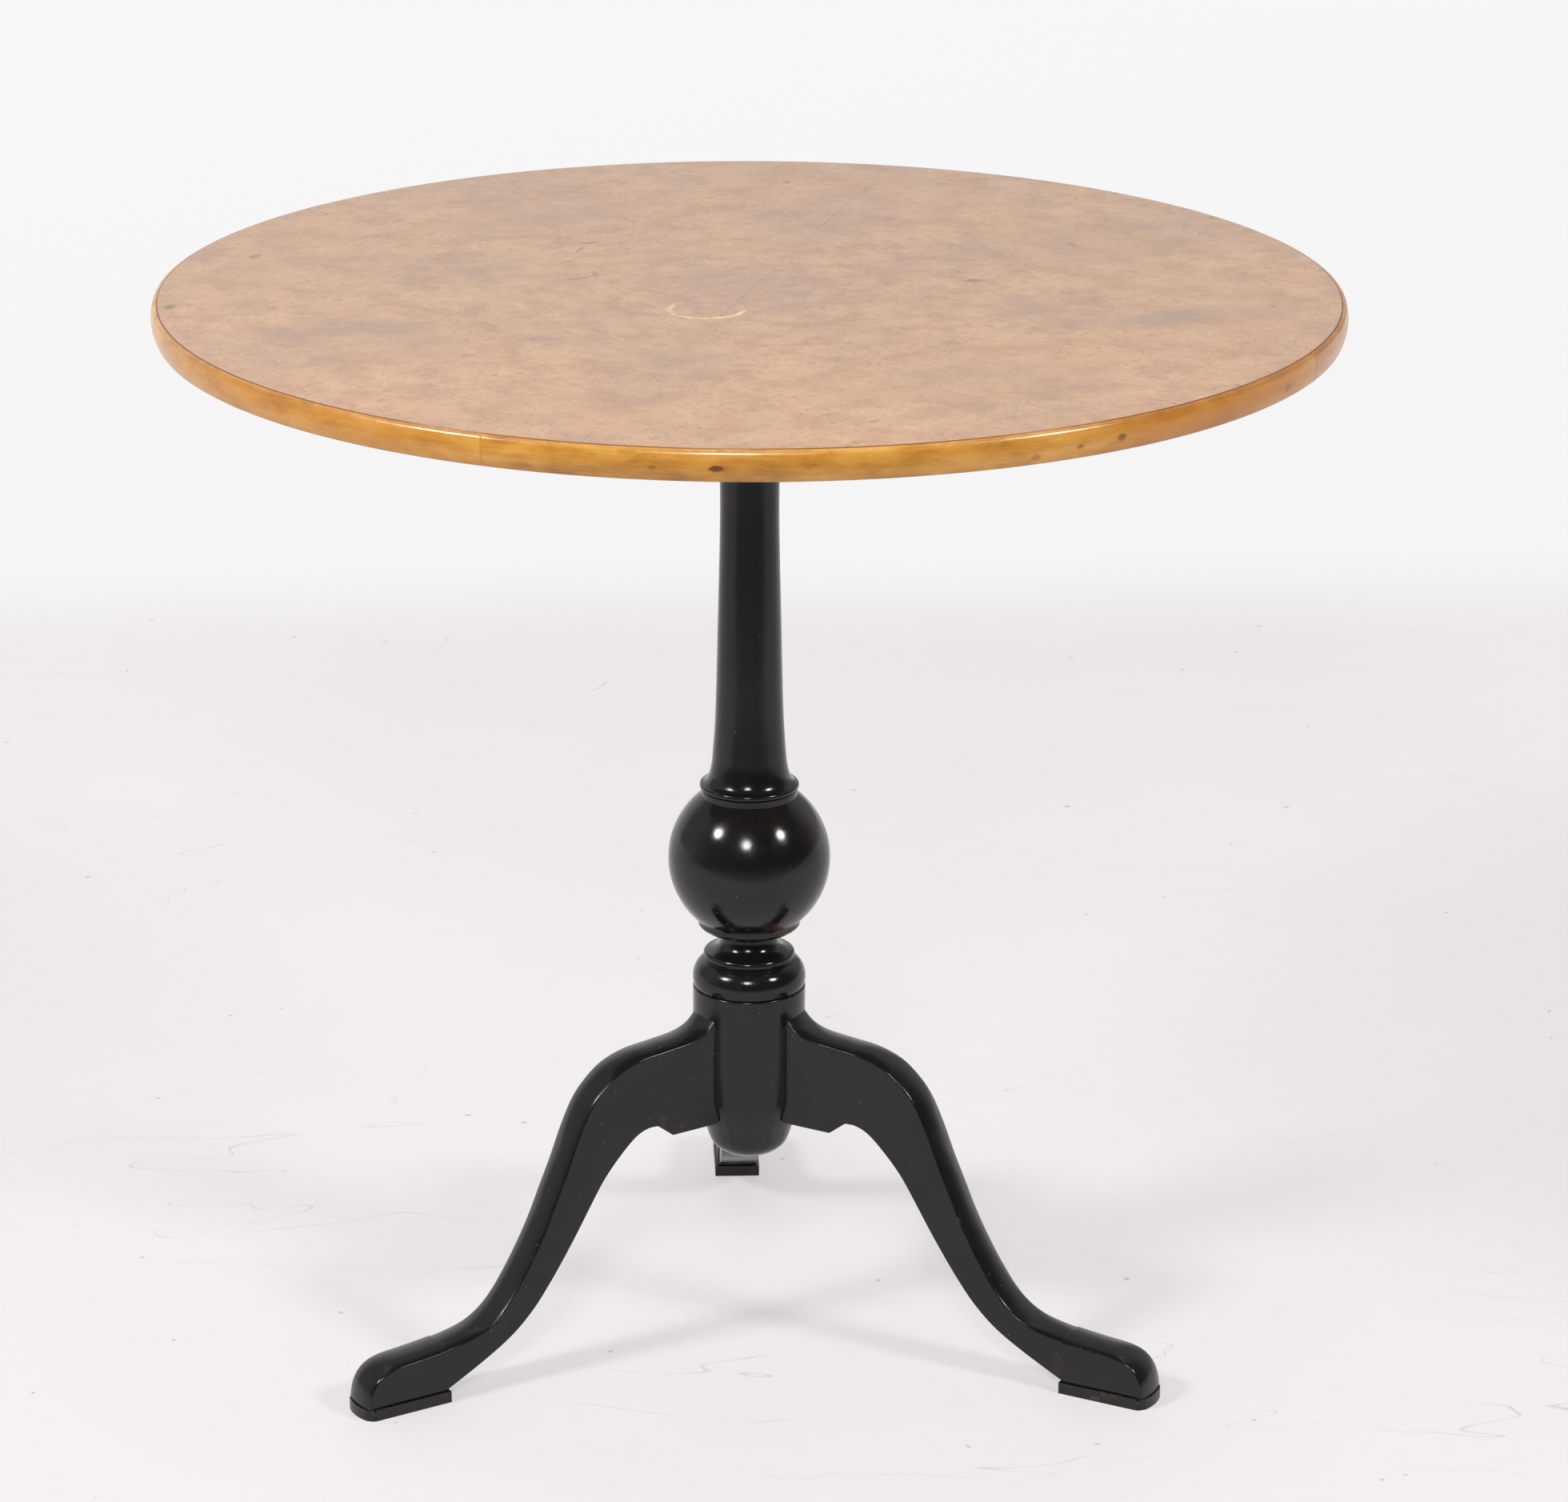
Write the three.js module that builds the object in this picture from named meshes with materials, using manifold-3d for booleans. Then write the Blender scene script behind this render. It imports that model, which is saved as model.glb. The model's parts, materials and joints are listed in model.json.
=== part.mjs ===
// Tilt top pedestal table: a round veneered top that swings up on a turned tripod column.
// Millimetres, +Z up. The origin is on the floor under the column's axis, and the viewer's side is -Y.

import * as THREE from "three";
import { mergeVertices } from "three/addons/utils/BufferGeometryUtils.js";
import Module from "manifold-3d";

const wasm = await Module();
wasm.setup();

// Driving dimensions
const TABLE_HEIGHT = 740;
const TOP_RADIUS = 395;
const TOP_THICKNESS = 21;
const GAP = 0.3; // between pieces that are glued or screwed together
const ROUND_SEGMENTS = 32;

// Top
const VENEER_THICKNESS = 1;
const VENEER_RADIUS = TOP_RADIUS - 4;
const VENEER_LEAVES = 8;
const VENEER_FIRST_SEAM = 73; // degrees from +X
const EDGE_WIDTH = 11;
const EDGE_PIECES = 4;
const EDGE_FIRST_JOINT = 63.75;
const RIM_STEP = 3.75; // degrees between the vertices of the round rim
const TOP_UNDERSIDE = TABLE_HEIGHT - TOP_THICKNESS;
const VENEER_UNDERSIDE = TABLE_HEIGHT - VENEER_THICKNESS;
const CORE_RADIUS = TOP_RADIUS - EDGE_WIDTH - GAP;

// Tilting block on the column, and the pivot at its front top edge
const BLOCK_HALF_WIDTH = 62;
const BLOCK_HALF_DEPTH = 62;
const BLOCK_HEIGHT = 46;
const PIVOT_DROP = 17; // below the underside of the top
const PIVOT_CLEARANCE = 0.4;
const PIVOT_ROUND = PIVOT_DROP - PIVOT_CLEARANCE;
const PIVOT_Z = TOP_UNDERSIDE - PIVOT_DROP;
const PIVOT_Y = PIVOT_ROUND - BLOCK_HALF_DEPTH;
const PIN_RADIUS = 7;
const PIN_LENGTH = 56;
const BLOCK_TOP = TOP_UNDERSIDE - PIVOT_CLEARANCE;
const BLOCK_BOTTOM = BLOCK_TOP - BLOCK_HEIGHT;

// Battens under the top, one on each side of the block
const BATTEN_WIDTH = 30;
const BATTEN_HEIGHT = 34;
const BATTEN_TIP_HEIGHT = 14;
const BATTEN_HALF_LENGTH = 310;
const BATTEN_SIDE_PLAY = 0.8;
const BATTEN_X = BLOCK_HALF_WIDTH + BATTEN_SIDE_PLAY + BATTEN_WIDTH / 2;
const BATTEN_TOP = TOP_UNDERSIDE - GAP;
const BATTEN_SCREW_Y = [-215, 20, 215];
const BATTEN_SCREW = { shank: 2.2, head: 4.6, headHeight: 3, bite: 12, bury: 9 };

// Column: the shaft, the ball section and the hub are turned separately and tenoned together
const SHAFT_SHOULDER = BLOCK_BOTTOM - GAP;
const SHAFT_FOOT = 392.3;
const SHAFT_NECK_RADIUS = 20;
const TOP_TENON = { radius: 14, length: 44 };
const SHAFT_TENON = { radius: 12, length: 40 };
const BALL_CENTRE = 342;
const BALL_RADIUS = 55.5;
const BALL_HALF_HEIGHT = 57;
const BALL_FOOT = 250;
const HUB_TENON = { radius: 15, length: 34 };
const HUB_RADIUS = 38.8;
const HUB_TOP = 249.4;
const HUB_BOWL_TOP = 172;

// Wedge that spreads the column's top tenon in the block
const WEDGE = { width: 27, depth: 27, topThickness: 4.2, tipThickness: 1.6 };

// Legs: sawn to an S, with a rounded outer face and a slightly wider foot on a sole pad
const LEG_ANGLES = { left: 210, right: 330, back: 90 };
const LEG_HALF_THICKNESS = 13.4;
const LEG_CROWN_RISE = 2.4;
const FOOT_HALF_THICKNESS = 14.1;
const FOOT_START = 249;
const FOOT_TOE = 309.5;
const PAD_HEIGHT = 8;
const PAD_START = 248;
const PAD_TOE = 308.5;
const PAD_BOW = 3;
const PAD_HALF_WIDTH = 15;
const DOWEL = { radius: 6, inner: 14, outer: 62, heights: [172, 200] };
const BRAD = { radius: 1.1, head: 2.4, headHeight: 1.2, length: 20, sunk: 0.5, inset: 16 };

// Catch: a brass bolt on the underside, shot by hand into a keeper on the back of the block
const CATCH_Z = PIVOT_Z - 1;
const CATCH_TRAVEL = 9;
const BOLT_HALF_WIDTH = 5;
const BOLT_HALF_HEIGHT = 3;
const BOLT_LENGTH = 58;
const BOLT_TIP_Y = BLOCK_HALF_DEPTH + 3.4; // withdrawn
const PLATE_HALF_WIDTH = 19;
const PLATE_THICKNESS = 1.6;
const PLATE_START_Y = BLOCK_HALF_DEPTH + 12;
const PLATE_LENGTH = 46;
const KEEPER = { halfWidth: 17, halfHeight: 9, thickness: 1.4, boltPlay: 0.6, pocket: 10 };
const CATCH_SCREW = { shank: 1.2, head: 2.6, headHeight: 1.3, bite: 8 };

const material = (color, roughness, metalness = 0) =>
  new THREE.MeshStandardMaterial({ color, roughness, metalness });

const finishes = {
  burr: () => material("#c99a72", 0.22),
  birch: () => material("#b87a34", 0.25),
  pine: () => material("#a9855c", 0.7),
  ebonised: () => material("#1d1d1c", 0.18),
  innerWood: () => material("#b3895a", 0.75),
  brass: () => material("#b08d4c", 0.35, 1),
  iron: () => material("#5b5a58", 0.45, 1),
};

const group = new THREE.Group();
group.name = "tilt_top_table";

function addMesh(name, finish, geometry) {
  const mesh = new THREE.Mesh(geometry, finishes[finish]());
  mesh.name = name;
  group.add(mesh);
  return mesh;
}

const radians = (degrees) => THREE.MathUtils.degToRad(degrees);

// A closed geometry as a solid that can be joined and cut.
function toSolid(geometry) {
  const bare = geometry.clone();
  bare.deleteAttribute("normal");
  bare.deleteAttribute("uv");
  const merged = mergeVertices(bare, 1e-4);
  return new wasm.Manifold(
    new wasm.Mesh({
      numProp: 3,
      vertProperties: new Float32Array(merged.attributes.position.array),
      triVerts: new Uint32Array(merged.index.array),
    }),
  );
}

function toGeometry(solid) {
  const mesh = solid.getMesh();
  const geometry = new THREE.BufferGeometry();
  geometry.setAttribute("position", new THREE.BufferAttribute(mesh.vertProperties, 3));
  geometry.setIndex(new THREE.BufferAttribute(mesh.triVerts, 1));
  geometry.computeVertexNormals();
  return geometry;
}

// Cuts each of the tools from the geometry.
function cut(geometry, ...tools) {
  let solid = toSolid(geometry);
  for (const tool of tools) {
    solid = solid.subtract(toSolid(tool));
  }
  return toGeometry(solid);
}

function join(...geometries) {
  return toGeometry(geometries.map(toSolid).reduce((all, solid) => all.add(solid)));
}

// A shape turned about the Z axis from [radius, z] points listed from the bottom to the top.
function turned(points, segments = ROUND_SEGMENTS) {
  const profile = points.map(([radius, z]) => new THREE.Vector2(radius, z));
  return new THREE.LatheGeometry(profile, segments).rotateX(Math.PI / 2);
}

// The part of a turned ring between two angles in degrees, closed at both ends. The section is a closed
// loop of [radius, z] points, counter-clockwise with the radius to the right and z up.
function ringSector(section, from, to, step = RIM_STEP) {
  const steps = Math.max(1, Math.round((to - from) / step));
  const count = section.length;
  const positions = [];
  for (let i = 0; i <= steps; i += 1) {
    const angle = radians(from + ((to - from) * i) / steps);
    for (const [radius, z] of section) {
      positions.push(radius * Math.cos(angle), radius * Math.sin(angle), z);
    }
  }
  const index = [];
  for (let i = 0; i < steps; i += 1) {
    for (let j = 0; j < count; j += 1) {
      const a = i * count + j;
      const b = i * count + ((j + 1) % count);
      index.push(a, a + count, b, b, a + count, b + count);
    }
  }
  const caps = THREE.ShapeUtils.triangulateShape(
    section.map(([radius, z]) => new THREE.Vector2(radius, z)),
    [],
  );
  const last = steps * count;
  for (const [a, b, c] of caps) {
    index.push(a, b, c);
    index.push(last + a, last + c, last + b);
  }
  const geometry = new THREE.BufferGeometry();
  geometry.setAttribute("position", new THREE.Float32BufferAttribute(positions, 3));
  geometry.setIndex(index);
  return geometry;
}

// An upright cylinder between two heights.
function rod(radius, bottom, top, segments = 24) {
  const geometry = new THREE.CylinderGeometry(radius, radius, top - bottom, segments);
  return geometry.rotateX(Math.PI / 2).translate(0, 0, (top + bottom) / 2);
}

function box(minX, maxX, minY, maxY, minZ, maxZ) {
  const geometry = new THREE.BoxGeometry(maxX - minX, maxY - minY, maxZ - minZ);
  return geometry.translate((minX + maxX) / 2, (minY + maxY) / 2, (minZ + maxZ) / 2);
}

// A shape drawn in the YZ plane (its x is Y and its y is Z), as a board across X.
function sideBoard(shape, minX, maxX, curveSegments = 8) {
  const options = { depth: maxX - minX, bevelEnabled: false, curveSegments };
  const geometry = new THREE.ExtrudeGeometry(shape, options);
  geometry.rotateX(Math.PI / 2).rotateZ(Math.PI / 2);
  return geometry.translate(minX, 0, 0);
}

// A countersunk screw or nail along +Z, its head's face at z = 0 and its point at z = length.
function screw({ shank, head, headHeight }, length) {
  return turned(
    [
      [0, -length],
      [shank * 0.35, -length],
      [shank, -length + 3 * shank],
      [shank, -headHeight],
      [head, -0.3],
      [head, 0],
      [0, 0],
    ],
    12,
  ).rotateX(Math.PI);
}

// Top: a solid core, an edging in curved pieces, and a burr veneer laid in matched leaves

function makeCore() {
  const panel = rod(CORE_RADIUS, TOP_UNDERSIDE, VENEER_UNDERSIDE - GAP, 360 / RIM_STEP);
  const drilled = [];
  for (const side of [-1, 1]) {
    for (const y of BATTEN_SCREW_Y) {
      const depth = TOP_UNDERSIDE + BATTEN_SCREW.bite + 1;
      const hole = rod(BATTEN_SCREW.shank + GAP, TOP_UNDERSIDE - 1, depth, 12);
      drilled.push(hole.translate(side * BATTEN_X, y, 0));
    }
  }
  for (const [x, y] of catchScrewPlaces()) {
    const depth = TOP_UNDERSIDE + CATCH_SCREW.bite;
    const hole = rod(CATCH_SCREW.shank + GAP, TOP_UNDERSIDE - 1, depth, 12);
    drilled.push(hole.translate(x, y, 0));
  }
  addMesh("top_core", "pine", cut(panel, ...drilled));
}

// The edging's outer face is a flat arch, fullest a little above the middle, with an eased lower corner.
function edgeSection() {
  const inner = TOP_RADIUS - EDGE_WIDTH;
  const outline = new THREE.Path();
  outline.moveTo(inner, TOP_UNDERSIDE);
  outline.lineTo(TOP_RADIUS - 6, TOP_UNDERSIDE);
  outline.quadraticCurveTo(TOP_RADIUS - 2.6, TOP_UNDERSIDE, TOP_RADIUS - 1.6, TOP_UNDERSIDE + 3.4);
  outline.bezierCurveTo(
    TOP_RADIUS + 0.5,
    TOP_UNDERSIDE + 8,
    TOP_RADIUS + 0.5,
    TOP_UNDERSIDE + 13,
    VENEER_RADIUS,
    VENEER_UNDERSIDE - GAP,
  );
  outline.lineTo(inner, VENEER_UNDERSIDE - GAP);
  return outline.getPoints(4).map((point) => [point.x, point.y]);
}

function makeEdging() {
  const span = 360 / EDGE_PIECES;
  const halfJoint = THREE.MathUtils.radToDeg(GAP / 2 / TOP_RADIUS);
  for (let i = 0; i < EDGE_PIECES; i += 1) {
    const from = EDGE_FIRST_JOINT + span * i;
    const piece = ringSector(edgeSection(), from + halfJoint, from + span - halfJoint);
    addMesh(`edging_${i + 1}`, "birch", piece);
  }
}

// One wedge of veneer with its point at the middle of the top, kept clear of its neighbours all along.
function veneerLeaf(from, to) {
  const middle = radians((from + to) / 2);
  const pointOffset = GAP / 2 / Math.sin(radians(to - from) / 2);
  const steps = Math.round((to - from) / RIM_STEP);
  const halfJoint = THREE.MathUtils.radToDeg(GAP / 2 / VENEER_RADIUS);
  const leaf = new THREE.Shape();
  leaf.moveTo(pointOffset * Math.cos(middle), pointOffset * Math.sin(middle));
  for (let i = 0; i <= steps; i += 1) {
    const angle = radians(THREE.MathUtils.lerp(from + halfJoint, to - halfJoint, i / steps));
    leaf.lineTo(VENEER_RADIUS * Math.cos(angle), VENEER_RADIUS * Math.sin(angle));
  }
  const geometry = new THREE.ExtrudeGeometry(leaf, { depth: VENEER_THICKNESS, bevelEnabled: false });
  return geometry.translate(0, 0, VENEER_UNDERSIDE);
}

function makeVeneer() {
  const span = 360 / VENEER_LEAVES;
  for (let i = 0; i < VENEER_LEAVES; i += 1) {
    const from = VENEER_FIRST_SEAM + span * i;
    addMesh(`veneer_leaf_${i + 1}`, "burr", veneerLeaf(from, from + span));
  }
}

// Underframe of the top: battens that carry the pivot pins, each held by three screws

function battenOutline() {
  const outline = new THREE.Shape();
  const bottom = BATTEN_TOP - BATTEN_HEIGHT;
  const tip = BATTEN_TOP - BATTEN_TIP_HEIGHT;
  const taper = 96;
  outline.moveTo(-BATTEN_HALF_LENGTH, BATTEN_TOP);
  outline.lineTo(-BATTEN_HALF_LENGTH, tip);
  outline.quadraticCurveTo(-BATTEN_HALF_LENGTH + taper * 0.6, tip, -BATTEN_HALF_LENGTH + taper, bottom);
  outline.lineTo(BATTEN_HALF_LENGTH - taper, bottom);
  outline.quadraticCurveTo(BATTEN_HALF_LENGTH - taper * 0.6, tip, BATTEN_HALF_LENGTH, tip);
  outline.lineTo(BATTEN_HALF_LENGTH, BATTEN_TOP);
  outline.closePath();
  return outline;
}

function alongX(geometry) {
  return geometry.rotateY(Math.PI / 2);
}

function makeBattens() {
  const headFace = BATTEN_TOP - BATTEN_HEIGHT + BATTEN_SCREW.bury;
  const length = TOP_UNDERSIDE + BATTEN_SCREW.bite - headFace;
  for (const [side, x] of [["left", -BATTEN_X], ["right", BATTEN_X]]) {
    const board = sideBoard(battenOutline(), x - BATTEN_WIDTH / 2, x + BATTEN_WIDTH / 2);
    const pinHole = alongX(rod(PIN_RADIUS + PIVOT_CLEARANCE, -BATTEN_WIDTH, BATTEN_WIDTH, 32));
    pinHole.translate(x, PIVOT_Y, PIVOT_Z);
    const headBottom = headFace - BATTEN_SCREW.bury - 1;
    const headTop = headFace + BATTEN_SCREW.headHeight + GAP;
    const screwHoles = BATTEN_SCREW_Y.flatMap((y) => [
      rod(BATTEN_SCREW.shank + GAP, headFace, BATTEN_TOP + 1, 12).translate(x, y, 0),
      rod(BATTEN_SCREW.head + GAP, headBottom, headTop, 12).translate(x, y, 0),
    ]);
    addMesh(`batten_${side}`, "pine", cut(board, pinHole, ...screwHoles));
    BATTEN_SCREW_Y.forEach((y, i) => {
      const piece = screw(BATTEN_SCREW, length).translate(x, y, headFace);
      addMesh(`batten_screw_${side}_${i + 1}`, "iron", piece);
    });
  }
}

// Block: its front top edge is an arc about the pivot, so that the top can swing past it

function blockOutline() {
  const outline = new THREE.Shape();
  const chamfer = 8;
  outline.moveTo(-BLOCK_HALF_DEPTH + chamfer, BLOCK_BOTTOM);
  outline.lineTo(BLOCK_HALF_DEPTH - chamfer, BLOCK_BOTTOM);
  outline.lineTo(BLOCK_HALF_DEPTH, BLOCK_BOTTOM + chamfer);
  outline.lineTo(BLOCK_HALF_DEPTH, BLOCK_TOP);
  outline.lineTo(PIVOT_Y, BLOCK_TOP);
  outline.absarc(PIVOT_Y, PIVOT_Z, PIVOT_ROUND, Math.PI / 2, Math.PI, false);
  outline.lineTo(-BLOCK_HALF_DEPTH, BLOCK_BOTTOM + chamfer);
  outline.closePath();
  return outline;
}

// The wedge's outline across the slot, grown by some clearance on each side.
function wedgeShape(clearance) {
  const top = BLOCK_TOP - 1;
  const shape = new THREE.Shape();
  shape.moveTo(-WEDGE.tipThickness / 2 - clearance, top - WEDGE.depth - clearance);
  shape.lineTo(WEDGE.tipThickness / 2 + clearance, top - WEDGE.depth - clearance);
  shape.lineTo(WEDGE.topThickness / 2 + clearance, top);
  shape.lineTo(-WEDGE.topThickness / 2 - clearance, top);
  shape.closePath();
  return shape;
}

function makeBlock() {
  const body = sideBoard(blockOutline(), -BLOCK_HALF_WIDTH, BLOCK_HALF_WIDTH);
  const mortise = rod(TOP_TENON.radius + GAP, BLOCK_BOTTOM - 1, BLOCK_TOP + 1, 32);
  const pinDepth = PIN_LENGTH - BATTEN_WIDTH + 4;
  const pinHoles = [-1, 1].map((side) =>
    alongX(rod(PIN_RADIUS + GAP, -pinDepth, pinDepth, 32))
      .translate(side * BLOCK_HALF_WIDTH, PIVOT_Y, PIVOT_Z),
  );
  const pocket = box(
    -BOLT_HALF_WIDTH - KEEPER.boltPlay,
    BOLT_HALF_WIDTH + KEEPER.boltPlay,
    BLOCK_HALF_DEPTH - KEEPER.pocket,
    BLOCK_HALF_DEPTH + 1,
    CATCH_Z - BOLT_HALF_HEIGHT - KEEPER.boltPlay,
    CATCH_Z + BOLT_HALF_HEIGHT + KEEPER.boltPlay,
  );
  const screwHoles = keeperScrewPlaces().map(([x, z]) =>
    rod(CATCH_SCREW.shank + GAP, -CATCH_SCREW.bite - GAP, 1, 12)
      .rotateX(-Math.PI / 2)
      .translate(x, BLOCK_HALF_DEPTH, z),
  );
  addMesh("tilt_block", "ebonised", cut(body, mortise, ...pinHoles, pocket, ...screwHoles));

  for (const [side, direction] of [["left", -1], ["right", 1]]) {
    const pin = alongX(rod(PIN_RADIUS, -PIN_LENGTH / 2, PIN_LENGTH / 2, 32));
    const middle = BATTEN_X + BATTEN_WIDTH / 2 - 2 - PIN_LENGTH / 2;
    addMesh(`pivot_pin_${side}`, "iron", pin.translate(direction * middle, PIVOT_Y, PIVOT_Z));
  }
  addMesh("tenon_wedge", "innerWood", sideBoard(wedgeShape(0), -WEDGE.width / 2, WEDGE.width / 2));
}

// Column

const sampled = (curve, count) => curve.getPoints(count).map((point) => [point.x, point.y]);

function makeShaft() {
  const taper = new THREE.SplineCurve([
    new THREE.Vector2(25.2, 416),
    new THREE.Vector2(23.2, 447),
    new THREE.Vector2(21.6, 510),
    new THREE.Vector2(SHAFT_NECK_RADIUS, 590),
    new THREE.Vector2(21.4, 640),
    new THREE.Vector2(25.5, SHAFT_SHOULDER - 5),
  ]);
  const footCove = new THREE.QuadraticBezierCurve(
    new THREE.Vector2(31.5, SHAFT_FOOT + 4.2),
    new THREE.Vector2(26.2, SHAFT_FOOT + 6),
    new THREE.Vector2(25.2, 416),
  );
  const profile = [
    [0, SHAFT_FOOT - SHAFT_TENON.length],
    [SHAFT_TENON.radius - 1, SHAFT_FOOT - SHAFT_TENON.length],
    [SHAFT_TENON.radius, SHAFT_FOOT - SHAFT_TENON.length + 1],
    [SHAFT_TENON.radius, SHAFT_FOOT],
    [33.2, SHAFT_FOOT],
    [34, SHAFT_FOOT + 1.1],
    [34, SHAFT_FOOT + 2.9],
    [33.2, SHAFT_FOOT + 4],
    ...sampled(footCove, 3).slice(0, -1),
    ...sampled(taper, 8),
    [27.5, SHAFT_SHOULDER - 2.4],
    [27.5, SHAFT_SHOULDER],
    [TOP_TENON.radius, SHAFT_SHOULDER],
    [TOP_TENON.radius, SHAFT_SHOULDER + TOP_TENON.length],
    [0, SHAFT_SHOULDER + TOP_TENON.length],
  ];
  const slot = sideBoard(wedgeShape(GAP), -TOP_TENON.radius - 1, TOP_TENON.radius + 1);
  addMesh("column_shaft", "ebonised", cut(turned(profile), slot));
}

// Height of the ball's surface where it has the given radius.
const ballZ = (radius, side) =>
  BALL_CENTRE + side * BALL_HALF_HEIGHT * Math.sqrt(1 - (radius / BALL_RADIUS) ** 2);

function makeBallSection() {
  const collarRadius = 33;
  const rimRadius = 35;
  const upperAngle = Math.asin(collarRadius / BALL_RADIUS);
  const lowerAngle = Math.PI - Math.asin(rimRadius / BALL_RADIUS);
  const ballArc = [];
  const arcSteps = 11;
  for (let i = 0; i <= arcSteps; i += 1) {
    const angle = THREE.MathUtils.lerp(lowerAngle, upperAngle, i / arcSteps);
    ballArc.push([BALL_RADIUS * Math.sin(angle), BALL_CENTRE + BALL_HALF_HEIGHT * Math.cos(angle)]);
  }
  const torus = [];
  const torusSteps = 6;
  for (let i = 0; i <= torusSteps; i += 1) {
    const angle = THREE.MathUtils.lerp(-0.5, 1.37, i / torusSteps);
    torus.push([29 + 9.9 * Math.cos(angle), 257.5 + 13.5 * Math.sin(angle)]);
  }
  const neck = new THREE.CubicBezierCurve(
    new THREE.Vector2(29.8, 276.6),
    new THREE.Vector2(21.5, 277.6),
    new THREE.Vector2(19.2, 281),
    new THREE.Vector2(19.2, 286),
  );
  const underRim = new THREE.QuadraticBezierCurve(
    new THREE.Vector2(20.6, 288.6),
    new THREE.Vector2(29, 288.8),
    new THREE.Vector2(34.2, 293.4),
  );
  const profile = [
    [0, BALL_FOOT - HUB_TENON.length],
    [HUB_TENON.radius - 1, BALL_FOOT - HUB_TENON.length],
    [HUB_TENON.radius, BALL_FOOT - HUB_TENON.length + 1],
    [HUB_TENON.radius, BALL_FOOT],
    [35.4, BALL_FOOT],
    ...torus,
    [31, 271.6],
    [31, 275.4],
    ...sampled(neck, 4),
    ...sampled(underRim, 3),
    [rimRadius, 294.4],
    [rimRadius, ballZ(rimRadius, -1) - 0.5],
    ...ballArc,
    [collarRadius, SHAFT_FOOT - GAP],
    [0, SHAFT_FOOT - GAP],
  ];
  const mortiseBottom = SHAFT_FOOT - SHAFT_TENON.length - GAP;
  const mortise = rod(SHAFT_TENON.radius + GAP, mortiseBottom, SHAFT_FOOT + 1, 32);
  addMesh("column_ball_section", "ebonised", cut(turned(profile), mortise));
}

// The hub's outline, grown outwards by a clearance where a leg is fitted to it.
function hubProfile(clearance) {
  const bowl = new THREE.SplineCurve([
    new THREE.Vector2(14, 125.8),
    new THREE.Vector2(20.5, 128.9),
    new THREE.Vector2(24.8, 132.6),
    new THREE.Vector2(27.4, 137),
    new THREE.Vector2(30.6, 146.5),
    new THREE.Vector2(34.6, 157),
    new THREE.Vector2(37.6, 166),
    new THREE.Vector2(HUB_RADIUS, HUB_BOWL_TOP),
  ]);
  const outline = [
    ...sampled(bowl, 8),
    [HUB_RADIUS, HUB_TOP - 1],
    [HUB_RADIUS - 1, HUB_TOP],
  ].map(([radius, z]) => [radius + clearance, z]);
  return [[0, 124.6], ...outline, [0, HUB_TOP]];
}

// Moves a leg's geometry, drawn with the radius along X, to the leg's angle.
const toLeg = (geometry, angle) => geometry.rotateZ(radians(angle));

function dowelRods(radius, inner, outer) {
  return DOWEL.heights.map((z) => alongX(rod(radius, inner, outer, 12)).translate(0, 0, z));
}

function makeHub() {
  const tenonHole = rod(HUB_TENON.radius + GAP, HUB_TOP - HUB_TENON.length - 1, HUB_TOP + 1, 32);
  const dowelHoles = Object.values(LEG_ANGLES).flatMap((angle) =>
    dowelRods(DOWEL.radius + GAP, DOWEL.inner - GAP, HUB_RADIUS + 2).map((hole) => toLeg(hole, angle)),
  );
  addMesh("column_hub", "ebonised", cut(turned(hubProfile(0)), tenonHole, ...dowelHoles));
}

// Legs

// Points of one slice of the leg, with the outer face raised by some height.
function legSlice(rise) {
  const crown = new THREE.SplineCurve(
    [
      [37, 231.5],
      [43.5, 225.2],
      [55, 220.8],
      [75, 218.4],
      [95, 216],
      [112, 210],
      [125, 200],
      [135, 188],
      [144, 170],
      [153, 148],
      [162, 128],
      [170, 110],
      [179, 93],
      [189, 76.5],
      [200, 61],
      [210.5, 50.5],
      [223, 43.3],
      [240, 39],
      [262, 36.2],
      [284, 34.4],
    ].map(([radius, z]) => new THREE.Vector2(radius, z)),
  );
  const toe = new THREE.CubicBezierCurve(
    new THREE.Vector2(284, 34.4),
    new THREE.Vector2(299, 33),
    new THREE.Vector2(308, 27),
    new THREE.Vector2(FOOT_TOE, PAD_HEIGHT + GAP),
  );
  const calf = new THREE.SplineCurve(
    [
      [FOOT_START, PAD_HEIGHT + GAP],
      [220, 23.2],
      [198.5, 36.3],
      [182, 51],
      [169, 67],
      [157, 84],
      [146.5, 100],
      [136, 117],
      [125, 134],
      [113, 148],
      [100, 160],
      [90, 164.6],
      [81.5, 164.8],
    ].map(([radius, z]) => new THREE.Vector2(radius, z)),
  );
  const outer = [...crown.getPoints(24), ...toe.getPoints(5).slice(1)];
  const raised = outer.map((point, i) => {
    const before = outer[Math.max(i - 1, 0)];
    const after = outer[Math.min(i + 1, outer.length - 1)];
    const along = after.clone().sub(before).normalize();
    return new THREE.Vector2(point.x - along.y * rise, point.y + along.x * rise);
  });
  raised[raised.length - 1].y = PAD_HEIGHT + GAP;
  const cusp = [new THREE.Vector2(69.5, 155.6), new THREE.Vector2(24, 156.4)];
  return [...raised, ...calf.getPoints(14), ...cusp, new THREE.Vector2(24, 236)].reverse();
}

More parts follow.
